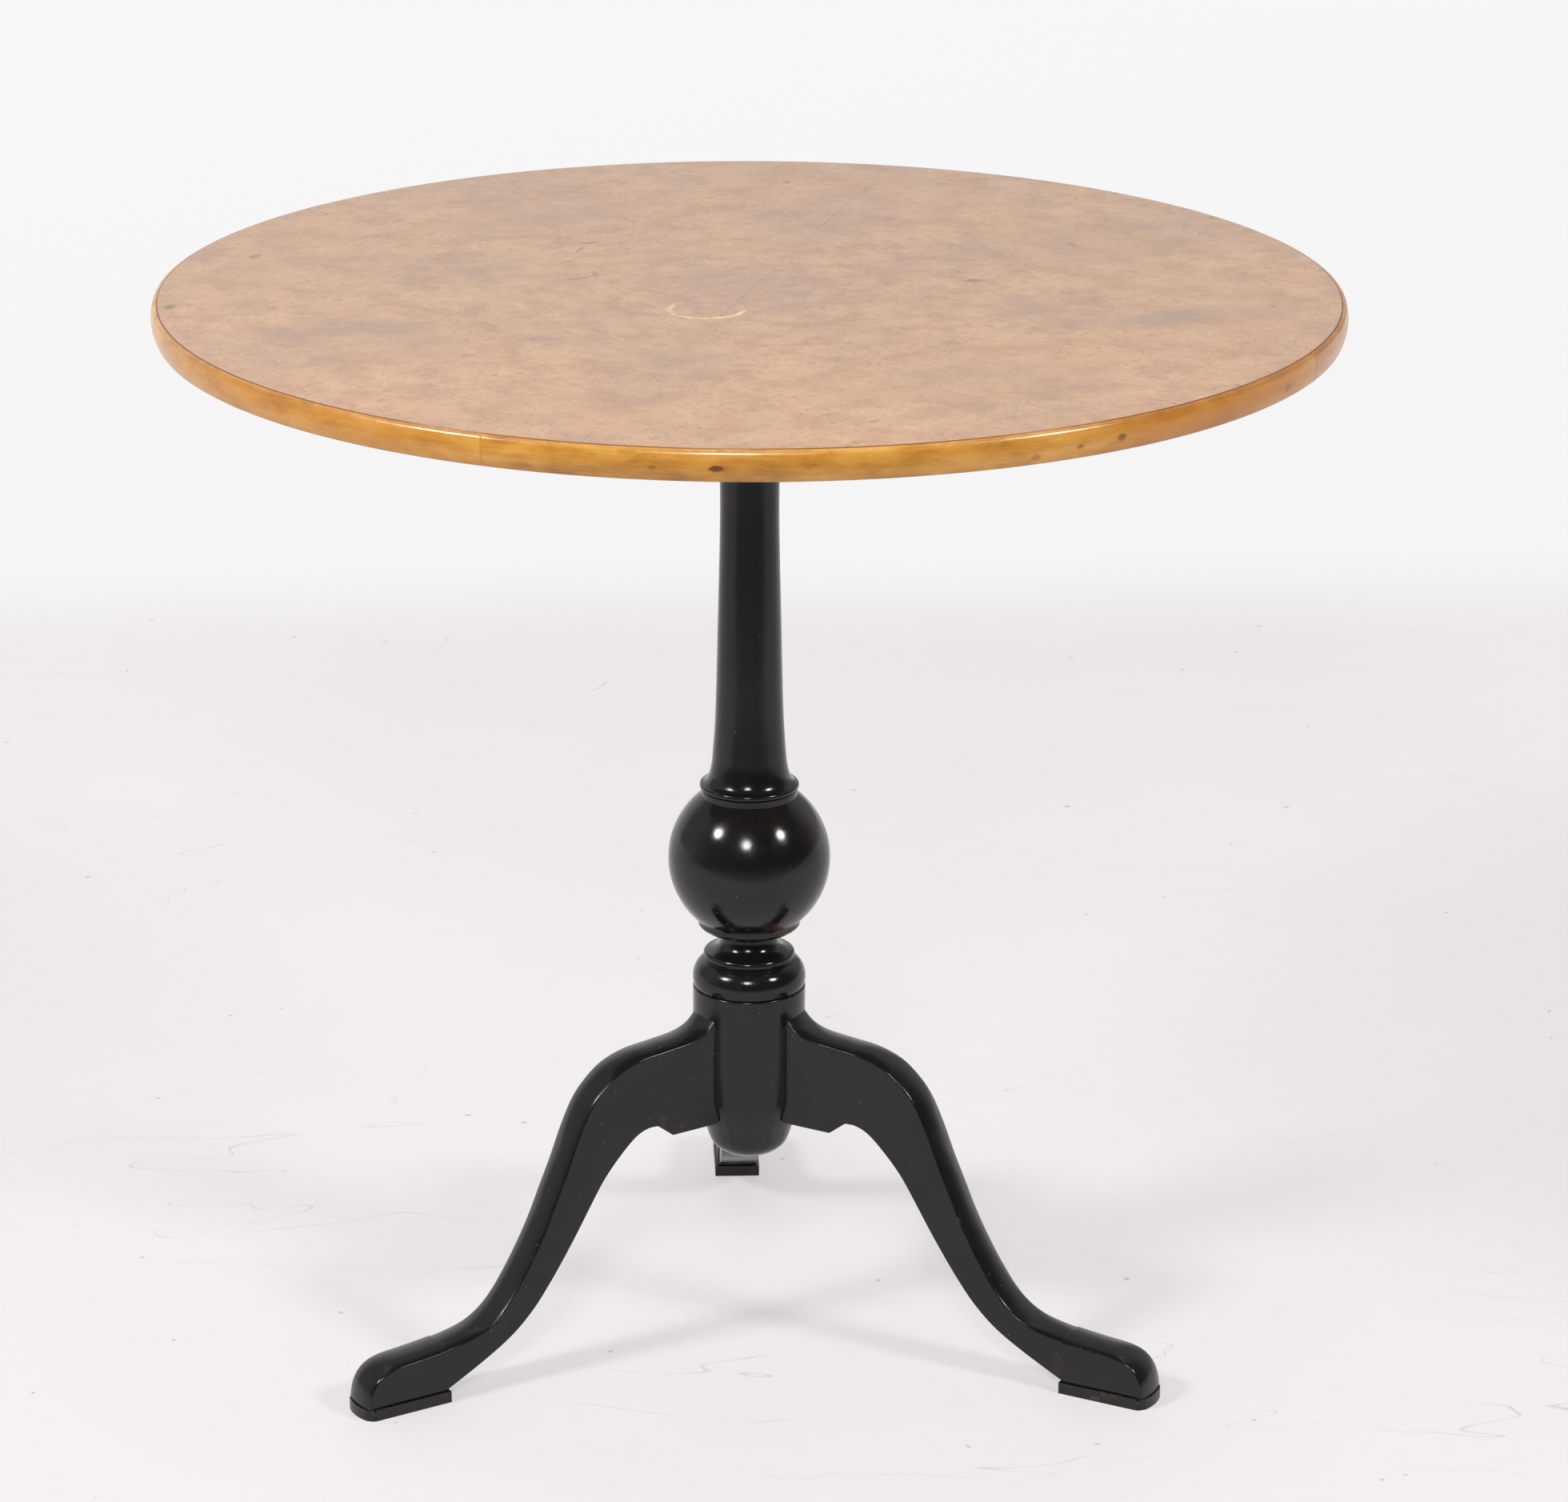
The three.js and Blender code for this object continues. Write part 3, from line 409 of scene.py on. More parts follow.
class Graph:
    """A node tree, with short calls for the nodes that the finishes and the studio share."""

    def __init__(self, tree: bpy.types.NodeTree) -> None:
        """Empties the tree."""
        self.tree = tree
        tree.nodes.clear()

    def node(self, kind: str, inputs: dict | None = None, **settings: object) -> bpy.types.Node:
        """Adds a node, sets its properties and feeds its inputs.

        Args:
            kind: the node's type name.
            inputs: what goes into each input, by its name or number.
            **settings: the node's properties.

        Returns:
            The node.
        """
        made = self.tree.nodes.new(kind)
        for key, value in settings.items():
            setattr(made, key, value)
        for key, value in (inputs or {}).items():
            self.feed(made.inputs[key], value)
        return made

    def feed(self, socket: Socket, value: object) -> None:
        """Links a socket into an input, or sets the input's own value."""
        if isinstance(value, bpy.types.NodeSocket):
            self.tree.links.new(value, socket)
        elif socket.type == "RGBA" and len(value) == 3:
            socket.default_value = (*value, 1.0)
        else:
            socket.default_value = value

    def object_place(self) -> Socket:
        """The point in the table's own frame."""
        return self.node("ShaderNodeTexCoord").outputs["Object"]

    def attribute(self, name: str, output: str = "Vector") -> Socket:
        """A point attribute of the piece."""
        return self.node("ShaderNodeAttribute", attribute_name=name).outputs[output]

    def pattern(self) -> Socket:
        """The piece's own pattern coordinates."""
        return self.node("ShaderNodeUVMap", uv_map=PATTERN_UV).outputs[0]

    def mapped(
        self, where: Socket, scale: Triple = (1, 1, 1), shift: Triple = (0, 0, 0), turn: float = 0
    ) -> Socket:
        """A vector scaled, turned about Z by some radians, then shifted."""
        inputs = {"Vector": where, "Scale": scale, "Location": shift, "Rotation": (0, 0, turn)}
        return self.node("ShaderNodeMapping", inputs).outputs[0]

    def joined(self, x: object, y: object, z: object) -> Socket:
        """Three numbers as one vector."""
        return self.node("ShaderNodeCombineXYZ", {0: x, 1: y, 2: z}).outputs[0]

    def parts(self, where: Socket) -> tuple[Socket, Socket, Socket]:
        """A vector's three numbers."""
        made = self.node("ShaderNodeSeparateXYZ", {0: where})
        return made.outputs[0], made.outputs[1], made.outputs[2]

    def vector(self, operation: str, a: object, b: object = (0, 0, 0)) -> Socket:
        """A vector operation of two vectors."""
        made = self.node("ShaderNodeVectorMath", {0: a, 1: b}, operation=operation)
        return made.outputs["Value" if operation == "LENGTH" else "Vector"]

    def math(self, operation: str, a: object, b: object = 0.5) -> Socket:
        """An operation on one or two numbers."""
        return self.node("ShaderNodeMath", {0: a, 1: b}, operation=operation).outputs[0]

    def times(self, *factors: object) -> Socket:
        """The product of some numbers."""
        return functools.reduce(functools.partial(self.math, "MULTIPLY"), factors)

    def plus(self, *terms: object) -> Socket:
        """The sum of some numbers."""
        return functools.reduce(functools.partial(self.math, "ADD"), terms)

    def less(self, a: object, b: object) -> Socket:
        """One number less another."""
        return self.math("SUBTRACT", a, b)

    def most(self, *values: object) -> Socket:
        """The largest of some numbers."""
        return functools.reduce(functools.partial(self.math, "MAXIMUM"), values)

    def rise(self, value: object, low: float, high: float, bottom: float = 0, top: float = 1) -> Socket:
        """A smooth step from one value to another as the input goes from low to high."""
        inputs = {"Value": value, "From Min": low, "From Max": high, "To Min": bottom, "To Max": top}
        return self.node("ShaderNodeMapRange", inputs, interpolation_type="SMOOTHSTEP").outputs[0]

    def noise(self, where: Socket, scale: float, detail: float = 4, rough: float = 0.55) -> Socket:
        """Cloudy noise from 0 to 1, with features 1 / scale metres across."""
        inputs = {"Vector": where, "Scale": scale, "Detail": detail, "Roughness": rough}
        return self.node("ShaderNodeTexNoise", inputs).outputs[0]

    def warped(self, where: Socket, scale: float, reach: float) -> Socket:
        """A vector pushed about by coloured noise, by up to half the reach in metres."""
        inputs = {"Vector": where, "Scale": scale, "Detail": 3}
        colour = self.node("ShaderNodeTexNoise", inputs).outputs["Color"]
        push = self.vector("MULTIPLY", self.vector("SUBTRACT", colour, (0.5, 0.5, 0.5)), (reach,) * 3)
        return self.vector("ADD", where, push)

    def dots(self, where: Socket, scale: float, reach: float, core: float, rarity: float) -> Socket:
        """Scattered soft dots, one in each cell that draws a number above some limit.

        Args:
            where: the vector they are read at.
            scale: cells in a metre.
            reach: the distance in cell widths at which a dot has faded out.
            core: the distance in cell widths within which it is full.
            rarity: the limit, from 0 for a dot in every cell to 1 for none.

        Returns:
            The strength.
        """
        made = self.node("ShaderNodeTexVoronoi", {"Vector": where, "Scale": scale})
        draw = self.parts(made.outputs["Color"])[0]
        drawn = self.math("GREATER_THAN", draw, rarity)
        return self.times(self.rise(made.outputs["Distance"], reach, core), drawn)

    def ramp(self, factor: Socket, *stops: tuple[float, Colour]) -> Socket:
        """A colour read off some stops."""
        made = self.node("ShaderNodeValToRGB", {0: factor})
        elements = made.color_ramp.elements
        while len(elements) < len(stops):
            elements.new(0.5)
        for element, (position, colour) in zip(elements, stops):
            element.position = position
            element.color = (*colour, 1.0)
        return made.outputs[0]

    def mix(self, factor: object, a: object, b: object, blend: str = "MIX") -> Socket:
        """Two colours mixed."""
        made = self.node("ShaderNodeMix", {0: factor, 6: a, 7: b}, data_type="RGBA", blend_type=blend)
        return made.outputs[2]

    def oval(self, where: Socket, centre: Triple, size: Triple, turn: float) -> Socket:
        """A place in an oval's own measure, turned with it, so that its outline is 1 away from its centre."""
        local = self.mapped(self.vector("SUBTRACT", where, centre), turn=-math.radians(turn))
        return self.vector("DIVIDE", local, size)

    def spot(self, where: Socket, centre: Triple, size: Triple, turn: float, ragged: float) -> Socket:
        """A ragged oval spot: 1 inside, 0 outside, with noise pushing its outline in and out.

        Args:
            where: the vector it is read at.
            centre: the middle of the spot.
            size: half its length along each axis.
            turn: degrees it is turned about Z.
            ragged: how far the noise moves the outline, in sizes.

        Returns:
            The strength.
        """
        local = self.oval(where, centre, size, turn)
        uneven = self.times(self.less(self.noise(local, 1.3, 4, 0.7), 0.5), ragged * 2)
        return self.rise(self.plus(self.vector("LENGTH", local), uneven), 1.1, 0.6)

    def bump(self, height: Socket, depth: float, strength: float = 1.0, under: Socket | None = None) -> Socket:
        """A normal bumped by a height from 0 to 1, over some depth in millimetres."""
        inputs = {"Height": height, "Distance": depth * MM, "Strength": strength}
        if under is not None:
            inputs["Normal"] = under
        return self.node("ShaderNodeBump", inputs).outputs[0]


class Recipe(Graph):
    """The node tree of one material, built round a Principled shader."""

    def __init__(self, name: str) -> None:
        """Starts the material, with the shader on its output."""
        self.material = bpy.data.materials.new(name)
        self.material.use_nodes = True
        super().__init__(self.material.node_tree)
        self.shader = self.node("ShaderNodeBsdfPrincipled")
        self.node("ShaderNodeOutputMaterial", {"Surface": self.shader.outputs[0]})

    def set(self, **values: object) -> None:
        """Feeds the shader's inputs, whose names are written with underscores for spaces."""
        for key, value in values.items():
            self.feed(self.shader.inputs[key.replace("_", " ")], value)


@dataclass(frozen=True)
class Finish:
    """What every finish has: a name, the record's slot that it belongs to, and a material."""

    name: str
    slot: Slot

    def mix(self, r: Recipe) -> None:
        """Adds the finish's own nodes to a recipe."""
        raise NotImplementedError

    @functools.cached_property
    def material(self) -> bpy.types.Material:
        """The material, made when it is first asked for."""
        r = Recipe(self.name)
        self.mix(r)
        return r.material


@dataclass(frozen=True)
class Blemish:
    """A mark in the wood: its place, half its length and width, how it is turned, and its strength."""

    x: float
    y: float
    length: float
    width: float
    turn: float
    strength: float

    def seen(self, r: Recipe, where: Socket, centre: Triple, ragged: float) -> Socket:
        """The mark's strength at a place, with its centre in metres and its outline as ragged as asked."""
        size = (self.length * MM, self.width * MM, 1.0)
        return r.times(r.spot(where, centre, size, self.turn, ragged), self.strength)


@dataclass(frozen=True)
class BurrVeneer(Finish):
    """Burr veneer in mirrored leaves, with smoky figure along the seams, eyes and a few old marks."""

    name: str = "burr_veneer"
    slot: Slot = Slot.BURR
    shades: tuple[Colour, ...] = ((0.375, 0.182, 0.082), (0.52, 0.282, 0.134), (0.61, 0.35, 0.172))
    smoke: Colour = (0.3, 0.18, 0.13)
    eye: Colour = (0.17, 0.085, 0.04)
    line: Colour = (0.24, 0.09, 0.03)
    ruddy: Colour = (0.49, 0.255, 0.108)
    fleck: Colour = (0.22, 0.115, 0.055)
    stain: Colour = (0.17, 0.098, 0.042)
    ring: Colour = (0.8, 0.66, 0.3)
    polish: float = 0.17
    level: float = 740.0
    rim: float = 389.9
    blemishes: tuple[Blemish, ...] = (
        Blemish(150, 24, 7.5, 4.5, 10, 0.85),
        Blemish(-106, 138, 11, 2.2, 20, 0.75),
        Blemish(-112, 118, 2.0, 9, -12, 0.6),
        Blemish(-114, 36, 12, 2.0, 25, 0.7),
        Blemish(-102, 48, 2.2, 9, 8, 0.6),
        Blemish(-381, -34, 5, 6.5, 0, 0.85),
        Blemish(-332, 106, 4, 7, -15, 0.6),
        Blemish(225, 126, 3, 8, 12, 0.55),
        Blemish(-62, -142, 6, 5, 0, 0.35),
        Blemish(-185, -165, 7, 5, 0, 0.45),
        Blemish(38, 320, 4, 4, 0, 0.55),
        Blemish(64, -330, 5, 3, 30, 0.5),
    )
    clouds: tuple[Blemish, ...] = (
        Blemish(-266, -100, 85, 26, 12, 0.95),
        Blemish(277, -82, 85, 24, 12, 0.9),
        Blemish(-108, -130, 60, 34, -20, 0.5),
        Blemish(155, 94, 75, 24, 22, 0.6),
        Blemish(294, 180, 60, 22, -25, 0.55),
        Blemish(-150, 200, 75, 26, 22, 0.5),
        Blemish(47, 235, 70, 28, 0, 0.45),
        Blemish(182, -247, 65, 26, -10, 0.45),
        Blemish(-86, -272, 60, 28, 10, 0.4),
        Blemish(5, 28, 105, 26, -12, 0.7),
        Blemish(60, -30, 70, 20, 25, 0.5),
    )
    ring_place: tuple[float, float] = (-30.2, -49.5)
    ring_radius: float = 24.5

    def on_top(self, x: float, y: float) -> Triple:
        """A place on the top, in metres."""
        return x * MM, y * MM, self.level * MM

    def smoky(self, r: Recipe, where: Socket) -> Socket:
        """How smoky the figure is: wedges that widen outwards along both seams of a leaf, a ragged star of
        petals about its point and clouds at set places, all broken up by noise.

        Args:
            r: the recipe.
            where: the leaf's pattern place, with its slice as the third number.

        Returns:
            The strength from 0 to 1.
        """
        u, v, _ = r.parts(r.warped(r.warped(where, 9, 0.055), 45, 0.012))
        reach = r.vector("LENGTH", r.joined(u, v, 0))
        other = r.times(r.less(u, v), math.sqrt(0.5))
        shades = []
        for distance, spread, seed in ((v, 0.19, 0.0), (other, 0.15, 0.7)):
            width = r.plus(r.times(reach, spread), 0.006)
            beside = r.rise(r.math("DIVIDE", r.math("ABSOLUTE", distance), width), 1.25, 0.1)
            patch = r.rise(r.noise(r.mapped(where, shift=(seed, seed, 0)), 7.5, 3, 0.6), 0.4, 0.62, 0, 0.6)
            shades.append(r.times(beside, patch))
        petals = r.rise(r.noise(r.warped(where, 70, 0.03), 42, 4, 0.6), 0.38, 0.58)
        shades.append(r.times(r.rise(reach, 0.088, 0.03), r.plus(r.times(petals, 0.7), 0.2)))
        bent = r.warped(r.warped(r.object_place(), 14, 0.05), 70, 0.012)
        for cloud in self.clouds:
            centre, size = self.on_top(cloud.x, cloud.y), (cloud.length * MM, cloud.width * MM, 1.0)
            away = r.vector("LENGTH", r.oval(bent, centre, size, cloud.turn))
            shades.append(r.rise(away, 1.25, 0.2, 0, cloud.strength))
        broken = r.rise(r.noise(r.warped(where, 50, 0.02), 30, 5, 0.65), 0.32, 0.6, 0.35, 1)
        return r.times(r.most(*shades), broken)

    def marked(self, r: Recipe, colour: Socket) -> Socket:
        """The colour with the blemishes and a pale glass ring added to it."""
        where = r.warped(r.object_place(), 160, 0.004)
        for old in self.blemishes:
            colour = r.mix(old.seen(r, where, self.on_top(old.x, old.y), 1.5), colour, self.stain)
        local = r.vector("SUBTRACT", where, self.on_top(*self.ring_place))
        off = r.math("ABSOLUTE", r.less(r.vector("LENGTH", local), self.ring_radius * MM))
        broken = r.rise(r.noise(where, 75, 4, 0.7), 0.36, 0.6)
        side, depth, _ = r.parts(local)
        worn_off = r.rise(r.plus(r.times(side, 0.55), depth), 0.016, -0.004, 0.12, 1)
        return r.mix(r.times(r.rise(off, 0.003, 0.0006), broken, worn_off, 0.85), colour, self.ring)

    def mix(self, r: Recipe) -> None:
        """Adds the finish's own nodes to a recipe."""
        leaf_u, leaf_v, _ = r.parts(r.pattern())
        where = r.joined(leaf_u, leaf_v, r.attribute(SLICE, "Fac"))
        mottle = r.noise(r.warped(where, 60, 0.02), 34, 6, 0.68)
        colour = r.ramp(mottle, (0.3, self.shades[0]), (0.5, self.shades[1]), (0.72, self.shades[2]))
        broad = r.rise(r.noise(where, 5, 2), 0.35, 0.7)
        colour = r.mix(r.times(broad, 0.35), colour, self.ruddy)
        curl = r.noise(r.warped(where, 120, 0.012), 190, 4, 0.6)
        colour = r.mix(r.rise(curl, 0.46, 0.66, 0, 0.45), colour, self.shades[0])
        flecks = r.dots(r.warped(r.warped(where, 150, 0.016), 420, 0.004), 78, 0.3, 0.12, 0.42)
        groups = r.rise(r.noise(where, 19, 4, 0.65), 0.42, 0.6, 0.1, 0.55)
        colour = r.mix(r.times(flecks, groups), colour, self.fleck)
        colour = r.mix(r.times(self.smoky(r, where), 0.8), colour, self.smoke)
        clusters = r.rise(r.noise(where, 14, 3, 0.6), 0.42, 0.66, 0.12, 1)
        for scale, reach, rarity, depth in ((150, 0.3, 0.6, 0.5), (260, 0.38, 0.5, 0.6), (520, 0.42, 0.4, 0.5)):
            eyes = r.dots(r.warped(where, 260, 0.007), scale, reach, reach * 0.4, rarity)
            colour = r.mix(r.times(eyes, clusters, depth), colour, self.eye)
        colour = self.marked(r, colour)
        flat = r.vector("MULTIPLY", r.object_place(), (1, 1, 0))
        edge = r.rise(r.vector("LENGTH", flat), self.rim * MM, (self.rim + 0.7) * MM)
        colour = r.mix(edge, colour, self.line)
        waves = r.noise(r.object_place(), 13, 2)
        pores = r.noise(where, 900, 3, 0.7)
        under = r.bump(waves, 0.35)
        r.set(Base_Color=colour, Normal=r.bump(pores, 0.012, 0.5, under), IOR=1.46)
        r.set(Roughness=r.rise(r.noise(where, 25, 5, 0.6), 0.3, 0.7, self.polish - 0.04, self.polish + 0.07))


@dataclass(frozen=True)
class BirchEdging(Finish):
    """Amber birch with its figure running along the rim, and a few small knots."""

    name: str = "birch_edging"
    slot: Slot = Slot.BIRCH
    shades: tuple[Colour, ...] = ((0.35, 0.14, 0.018), (0.54, 0.246, 0.037), (0.66, 0.345, 0.073))
    red: Colour = (0.4, 0.135, 0.018)
    knot: Colour = (0.13, 0.035, 0.008)
    bruise: Colour = (0.14, 0.045, 0.008)
    radius: float = 395.0
    knots: tuple[Blemish, ...] = (
        Blemish(265.1, 12.5, 5.5, 2.2, 0, 0.95),
        Blemish(259.5, 12.0, 3.0, 1.6, 0, 0.4),
        Blemish(303.0, 13.0, 4.0, 2.6, 0, 0.75),
        Blemish(298.5, 11.5, 3.0, 1.8, 0, 0.6),
        Blemish(294.0, 8.5, 4.0, 2.4, 0, 0.5),
        Blemish(327.0, 12.0, 5.0, 3.0, 0, 0.5),
        Blemish(101.0, 9.0, 5.0, 2.4, 0, 0.8),
        Blemish(22.0, 12.0, 4.5, 2.0, 0, 0.7),
        Blemish(181.0, 7.0, 5.0, 2.2, 0, 0.7),
    )

    def mix(self, r: Recipe) -> None:
        """Adds the finish's own nodes to a recipe."""
        along, across, _ = r.parts(r.pattern())
        where = r.joined(along, across, r.attribute(SLICE, "Fac"))
        fibre = r.noise(r.mapped(r.warped(where, 25, 0.006), (20, 420, 1)), 1, 5, 0.62)
        flame = r.noise(r.mapped(r.warped(where, 40, 0.012), (24, 60, 1)), 1, 4, 0.6)
        tone = r.plus(r.times(fibre, 0.25), r.times(flame, 0.75))
        colour = r.ramp(tone, (0.34, self.shades[0]), (0.5, self.shades[1]), (0.66, self.shades[2]))
        x, _, _ = r.parts(r.object_place())
        redder = r.plus(r.rise(r.noise(where, 5.5, 2), 0.42, 0.66, 0, 0.35), r.rise(x, 0.1, 0.38, 0, 0.5))
        colour = r.mix(redder, colour, self.red)
        knot_place = r.joined(along, across, 0)
        for knot in self.knots:
            centre = (math.radians(knot.x) * self.radius * MM, knot.y * MM, 0)
            colour = r.mix(knot.seen(r, knot_place, centre, 0.7), colour, self.knot)
        worn = r.times(r.attribute(WEAR, "Fac"), r.rise(r.noise(where, 60, 4, 0.7), 0.45, 0.6))
        colour = r.mix(r.times(worn, 0.35), colour, self.bruise)
        r.set(Base_Color=colour, IOR=1.5, Coat_Weight=0.2, Coat_Roughness=0.08)
        r.set(Roughness=r.rise(fibre, 0.3, 0.7, 0.2, 0.32))
        r.set(Normal=r.bump(fibre, 0.03, 0.6, r.bump(r.noise(where, 45, 3), 0.25)))


@dataclass(frozen=True)
class Ebonised(Finish):
    """Wood stained black and polished, rubbed through to brown on its arrises and in a few places."""

    name: str = "ebonised_wood"
    slot: Slot = Slot.EBONISED
    black: Colour = (0.0056, 0.0057, 0.0062)
    faded: Colour = (0.0085, 0.0084, 0.0086)
    rubbed: Colour = (0.1, 0.036, 0.017)
    dust: Colour = (0.22, 0.21, 0.2)
    polish: float = 0.115
    rubs: tuple[tuple[Triple, float, float], ...] = ()

    def mix(self, r: Recipe) -> None:
        """Adds the finish's own nodes to a recipe."""
        where = r.object_place()
        grain = r.mapped(r.attribute(GRAIN), (1, 1, 0.05))
        fibres = r.noise(r.warped(grain, 60, 0.003), 620, 4, 0.62)
        patches = r.noise(where, 26, 5, 0.62)
        colour = r.mix(r.rise(patches, 0.45, 0.7), self.black, self.faded)
        chance = r.times(r.noise(where, 75, 5, 0.7), r.noise(where, 12, 2))
        worn = r.times(r.rise(r.attribute(WEAR, "Fac"), 0.3, 0.9, 0, 0.7), r.rise(chance, 0.345, 0.43))
        for centre, reach, strength in self.rubs:
            rub = r.spot(where, tuple(side * MM for side in centre), (reach * MM,) * 3, 0, 0.9)
            worn = r.most(worn, r.times(rub, strength))
        worn = r.times(worn, r.rise(fibres, 0.25, 0.7, 0.45, 1))
        colour = r.mix(worn, colour, self.rubbed)
        colour = r.mix(r.times(r.dots(where, 130, 0.085, 0.03, 0.6), 0.42), colour, self.dust)
        rough = r.rise(r.noise(where, 40, 5, 0.65), 0.3, 0.75, self.polish, self.polish + 0.11)
        rough = r.plus(rough, r.times(worn, 0.3))
        scratches = r.noise(r.mapped(r.warped(where, 9, 0.05), (1, 1, 0.12), turn=0.4), 420, 2, 0.5)
        under = r.bump(r.noise(where, 48, 3), 0.12, 1.0)
        under = r.bump(fibres, 0.011, 0.8, under)
        r.set(Base_Color=colour, Roughness=rough, IOR=1.43)
        r.set(Normal=r.bump(r.rise(scratches, 0.66, 0.74), 0.006, 0.7, under))


@dataclass(frozen=True)
class PlainWood(Finish):
    """Unpolished wood with growth rings and pores, darkened by age, in jointed boards if it is a panel."""

    shades: tuple[Colour, ...]
    board: float = 0.0

    def mix(self, r: Recipe) -> None:
        """Adds the finish's own nodes to a recipe."""
        grain = r.attribute(GRAIN)
        if self.board:
            _, y, _ = r.parts(r.object_place())
            board = r.math("FLOOR", r.math("DIVIDE", y, self.board * MM))
            apart = r.vector("MULTIPLY", r.joined(board, board, board), (0.37, 0.61, 0.23))
            grain = r.vector("ADD", grain, apart)
        slow = r.mapped(grain, (1, 1, 0.07))
        bent = r.warped(slow, 7, 0.03)
        rings = r.node("ShaderNodeTexWave", {"Vector": bent, "Scale": 42.0, "Distortion": 3.5, "Detail": 3.0})
        pores = r.noise(slow, 800, 4, 0.65)
        tone = r.plus(r.times(rings.outputs[1], 0.4), r.times(pores, 0.6))
        colour = r.ramp(tone, (0.15, self.shades[0]), (0.5, self.shades[1]), (0.85, self.shades[2]))
        stain = r.rise(r.noise(r.object_place(), 6, 5, 0.65), 0.42, 0.7, 0, 0.5)
        colour = r.mix(stain, colour, self.shades[0])
        worn = r.times(r.attribute(WEAR, "Fac"), r.rise(r.noise(slow, 60, 4), 0.4, 0.6))
        colour = r.mix(r.times(worn, 0.6), colour, self.shades[2])
        if self.board:
            part = r.math("FRACT", r.math("DIVIDE", y, self.board * MM))
            near = r.math("MINIMUM", part, r.less(1.0, part))
            colour = r.mix(r.rise(near, 0.008, 0.002, 0, 0.8), colour, (0.03, 0.018, 0.01))
        r.set(Base_Color=colour, IOR=1.45, Roughness=r.rise(pores, 0.3, 0.7, 0.62, 0.82))
        r.set(Normal=r.bump(tone, 0.12, 0.7))


@dataclass(frozen=True)
class Metal(Finish):
    """Old metal: bright where it is rubbed, tarnished in patches, and finely scratched."""

    bright: Colour
    tarnish: Colour
    rust: float = 0.0

    def mix(self, r: Recipe) -> None:
        """Adds the finish's own nodes to a recipe."""
        where = r.object_place()
        patches = r.rise(r.noise(where, 160, 6, 0.65), 0.4, 0.62)
        worn = r.rise(r.attribute(WEAR, "Fac"), 0.1, 0.6)
        dull = r.times(patches, r.less(1.0, r.times(worn, 0.8)))
        colour = r.mix(dull, self.bright, self.tarnish)
        scratches = r.noise(r.mapped(where, (1, 0.1, 1), turn=0.3), 2600, 2)
        r.set(Base_Color=colour, IOR=1.5, Metallic=r.less(1.0, r.times(dull, self.rust)))
        r.set(Roughness=r.plus(r.times(dull, 0.3), r.rise(scratches, 0.3, 0.7, 0.22, 0.34)))
        r.set(Normal=r.bump(r.noise(where, 700, 4), 0.02, 0.7, r.bump(scratches, 0.004, 0.6)))


# The table's sub-assemblies


INNER_SHADES = ((0.2, 0.11, 0.05), (0.36, 0.22, 0.11), (0.5, 0.34, 0.19))
PINE_SHADES = ((0.105, 0.052, 0.022), (0.215, 0.118, 0.052), (0.33, 0.2, 0.1))


def turned(angle: float, along: float | Array, across: float | Array) -> tuple:
    """A place in the plan of a leg brought to the leg's own angle about the column.

    Args:
        angle: degrees of the leg.
        along: the distance out from the column's axis.
        across: the distance to the side.

    Returns:
        Its x and y.
    """
    turn = math.radians(angle)
    return along * math.cos(turn) - across * math.sin(turn), along * math.sin(turn) + across * math.cos(turn)


